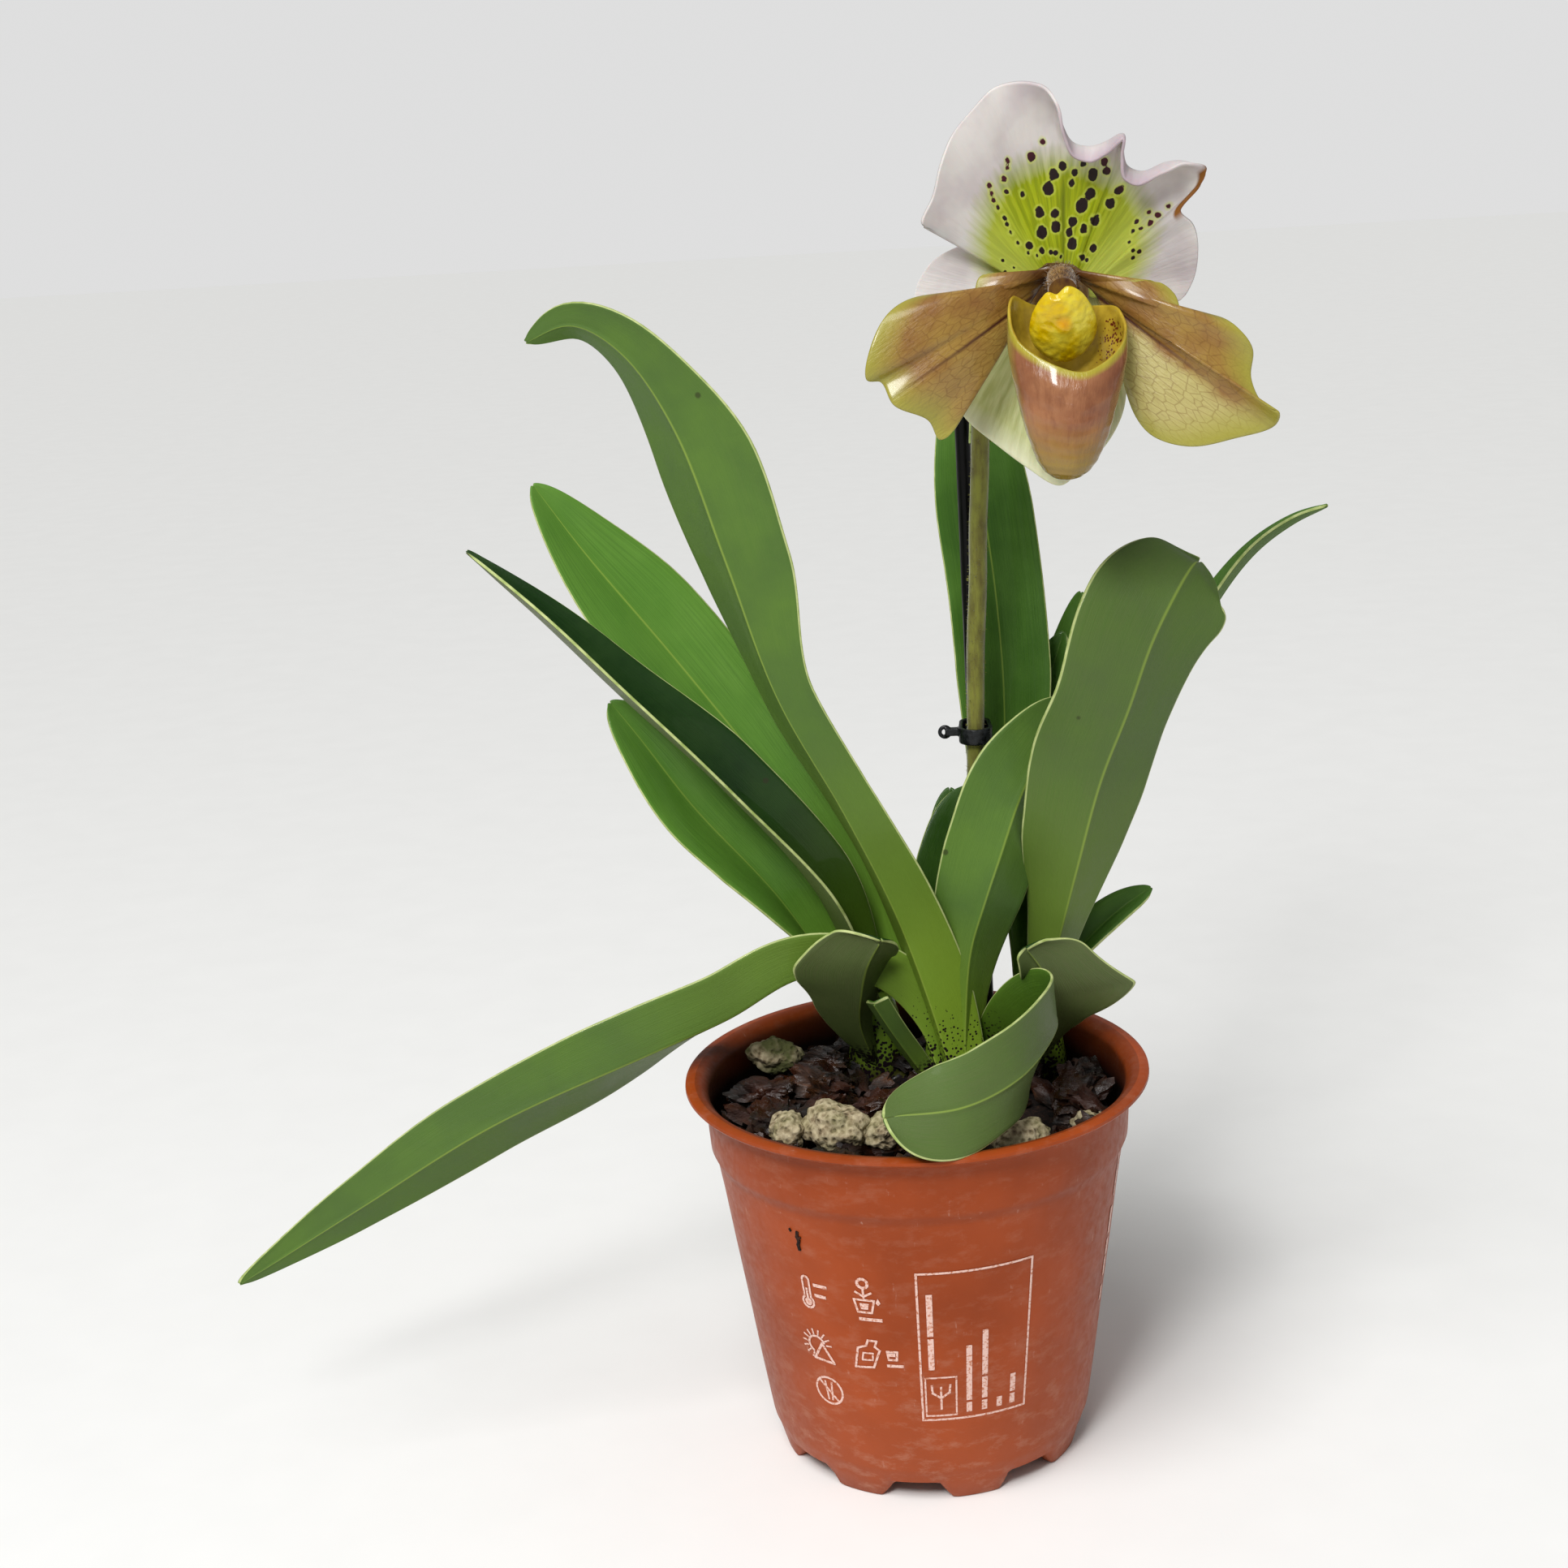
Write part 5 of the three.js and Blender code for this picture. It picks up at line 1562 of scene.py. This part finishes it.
def pouchSkin():
    material = newMaterial("pouchSkin", 0.26, Coat_Weight=0.7, Coat_Roughness=0.12)
    across, rise = spread(material, "spread")
    spots = place(material)
    cloud = mottle(material, spots, 80, 4)
    veins = mottle(material, place(material, (16, 2.2, 1), "spread"), 2.4, 4, 0.65)
    colour = stops(material, cloud, (0.34, "784831"), (0.6, "9a6a4b"))
    colour = blend(material, stops(material, veins, (0.5, 0.0), (0.66, 0.35)), colour, "653824")
    toe = stops(material, plus(material, rise, times(material, veins, 0.2)), (0.4, 0.95), (0.78, 0.0))
    colour = blend(material, toe, colour, "8c7334")
    flank = stops(material, calc(material, "ABSOLUTE", minus(material, across, 0.5)),
                  (0.19, 0.0), (0.26, 0.8))
    colour = blend(material, flank, colour, "979148")
    high = stops(material, rise, (0.945, 0.0), (0.975, 0.95))
    colour = blend(material, high, colour, pouchShape["rimColour"])
    return wire(material, colour, None, plus(material, veins, times(material, cloud, 1.5)), 0.4, 0.0009)


def pouchLining():
    material = newMaterial("pouchLining", 0.3, Coat_Weight=0.3)
    across, rise = spread(material, "spread")
    spots = place(material)
    cloud = mottle(material, spots, 200, 3)
    colour = stops(material, cloud, (0.35, "93792a"), (0.6, "b89d3c"))
    dots = speckle(material, spots, 1150.0)
    size = times(material, stops(material, across, (0.6, 0.0), (0.72, 0.42), (0.86, 0.42), (0.95, 0.0)),
                stops(material, rise, (0.6, 0.0), (0.75, 1.0), (0.94, 1.0), (0.98, 0.0)))
    colour = blend(material, stops(material, minus(material, size, dots), (0.0, 0.0), (0.08, 1.0)),
                   colour, "5a1c16")
    return wire(material, colour, None, cloud, 0.3, 0.0005)


# Column: the bumpy yellow shield over the mouth, its hairy stalk, and the seat behind
def shieldSkin():
    material = newMaterial("shieldYellow", 0.3, Coat_Weight=0.5, Coat_Roughness=0.15)
    spots = place(material)
    bumps = mottle(material, spots, 520, 4, 0.6)
    cloud = mottle(material, spots, 160, 3)
    colour = stops(material, cloud, (0.35, "ccaa1e"), (0.62, "dccb4a"))
    eye = addNode(material, "ShaderNodeVectorMath", {0: spots, 1: tuple(blossom((-1.6, -17, 0.6)))},
                  operation='DISTANCE').outputs["Value"]
    colour = blend(material, stops(material, times(material, eye, 200), (0.1, 0.9), (0.5, 0.0)), colour,
                   "cf8c04")
    return wire(material, colour, None, bumps, 0.4, 0.0008)


columnShape = {
    "shieldSize": (7.7, 2.2, 9.3),           # half its width, depth and height
    "shieldPlace": (-1.5, -15, 0.4),
    "shieldLean": 0.3,
    "seatSize": (7, 4, 6),
    "seatPlace": (-1, 4, 6),
    "stalk": [(-1.3, -13, 7.6), (-1, -5, 10), (-1, 4, 8.5)],
    "stalkRadius": 3.4,
    "hairs": 700,
    "hairLength": 1.5,
}


def makeColumn():
    wide, deep, high = columnShape["shieldSize"]
    deselect()
    bpy.ops.mesh.primitive_uv_sphere_add(segments=96, ring_count=64, radius=1)
    shield = bpy.context.object
    for vertex in shield.data.vertices:
        spot = vertex.co.copy()
        x, y, z = spot.x * wide, spot.y * deep, spot.z * high
        x *= 1 + 0.05 * math.cos(3 * math.atan2(z, x) + 1.5) - 0.12 * ease(0.2, 1, spot.z)
        z -= 1.8 * math.exp(-((x + 1.5) / 1.5) ** 2) * ease(0.6, 1, spot.z)     # a notch at the top
        y -= 0.7 * math.exp(-((x / 1.6) ** 2 + ((z + 0.4) / 1.5) ** 2)) * (spot.y < 0)
        y += 0.9 * (x / 6.5) ** 2
        y -= 0.25 * noise.noise(Vector((x, y, z)) * 0.8) + 0.1 * noise.noise(Vector((x, y, z)) * 2.3)
        turned = Vector((x, y, z))
        turned.rotate(Matrix.Rotation(columnShape["shieldLean"], 3, 'X'))
        vertex.co = blossom(Vector(columnShape["shieldPlace"]) + turned)
    shield.data.materials.append(shieldSkin())
    deselect()
    bpy.ops.mesh.primitive_uv_sphere_add(segments=48, ring_count=32, radius=1)
    seat = bpy.context.object
    for vertex in seat.data.vertices:
        form = 1 + 0.1 * noise.noise(vertex.co * 2.2)
        rows = zip(columnShape["seatPlace"], columnShape["seatSize"], vertex.co)
        vertex.co = blossom(Vector([middle + half * value * form for middle, half, value in rows]))
    stalkPath = [tuple(a + b for a, b in zip(heart, bend)) for bend in columnShape["stalk"]]
    radius = columnShape["stalkRadius"]
    stalk = tube(stalkPath, radius, 6)
    addHairs(stalk, stalkPath, radius, columnShape["hairs"], columnShape["hairLength"])
    hairy = hairySkin("columnHair", "8a6426", "4c2a14")
    for part in (seat, stalk):
        part.data.materials.append(hairy)
    column = join([shield, seat, stalk])
    hand(column, "column", "column", "column")


bractShape = {
    "rib": [(24, 26.5, 170), (25, 26, 184), (28, 23, 198), (34, 18, 208)],
    "face": [(0.2, -1, 0.2), (0.4, -0.6, -0.6)],
    "width": [12, 12, 8],
    "fold": [45, 30], "tip": 0.4, "wave": (0.2, 1.0, 0.0), "tone": 1.0, "lime": 1.0,
}

growSheet("dorsal_sepal", sepalShape, sepalPaint(), "dorsal_sepal")
for node, shape in petalShapes.items():
    growSheet(node, shape, petalPaint(node, shape["pale"]), "petal")
growSheet("synsepal", synsepalShape, synsepalPaint(), "synsepal")
makePouch()
makeColumn()
growLeaf("bract", bractShape, leafMaterials, "bract")
print("flower done")

# Floor, light and camera
stageSettings = {
    "lens": 56.27,
    "eye": (0, -595.6, 341.0),        # from the pot's axis, on the floor
    "right": (0.998, 0.035, -0.056),
    "up": (0.045, 0.263, 0.964),
    "sunPower": 2.0,
    "sunWidth": 35,
    "keyPower": 4.6,
    "keySize": 0.22,
    "worldLight": 0.32,
    "backdrop": 0.735,
}


def makeStage():
    deselect()
    bpy.ops.mesh.primitive_plane_add(size=12, location=(0, 0, 0))
    floor = bpy.context.object
    floor.name = "floor"
    card = newMaterial("paleFloor", 0.85)
    grain = mottle(card, place(card), 40, 2)
    wire(card, stops(card, grain, (0.3, "f6f6f4"), (0.7, "f8f8f6")))
    floor.data.materials.append(card)
    world = bpy.data.worlds.new("studio")
    scene.world = world
    world.use_nodes = True
    tree = world.node_tree
    seen = tree.nodes.new("ShaderNodeLightPath").outputs["Is Camera Ray"]
    backdrop = tree.nodes["Background"]
    backdrop.inputs["Color"].default_value = (1, 1, 1, 1)
    strength = tree.nodes.new("ShaderNodeMapRange")
    strength.inputs["To Min"].default_value = stageSettings["worldLight"]
    strength.inputs["To Max"].default_value = stageSettings["backdrop"]
    tree.links.new(seen, strength.inputs["Value"])
    tree.links.new(strength.outputs[0], backdrop.inputs["Strength"])
    sun = bpy.data.lights.new("sun", 'SUN')
    sun.energy = stageSettings["sunPower"]
    sun.angle = math.radians(stageSettings["sunWidth"])
    key = bpy.data.lights.new("key", 'AREA')
    key.energy = stageSettings["keyPower"]
    key.size = stageSettings["keySize"]
    for light, spot in ((sun, (-0.35, -0.55, 1.2)), (key, (-0.22, -0.75, 0.8))):
        lamp = bpy.data.objects.new(light.name, light)
        scene.collection.objects.link(lamp)
        lamp.location = axis + Vector(spot)
        aim = axis + Vector((0, 0, 0.15)) - lamp.location
        lamp.rotation_euler = aim.to_track_quat('-Z', 'Y').to_euler()


def makeCamera():
    camera = bpy.data.objects.new("camera", bpy.data.cameras.new("camera"))
    scene.collection.objects.link(camera)
    right, up = Vector(stageSettings["right"]), Vector(stageSettings["up"])
    back = right.cross(up).normalized()
    up = back.cross(right).normalized()
    right = up.cross(back)
    view = Matrix((right, up, back)).transposed().to_4x4()
    view.translation = axis + Vector(stageSettings["eye"]) * mm
    camera.matrix_world = view
    camera.data.lens = stageSettings["lens"]
    camera.data.sensor_width = 36
    camera.data.clip_start = 0.01
    scene.camera = camera


makeStage()
makeCamera()
scene.view_settings.view_transform = 'Standard'
deselect()
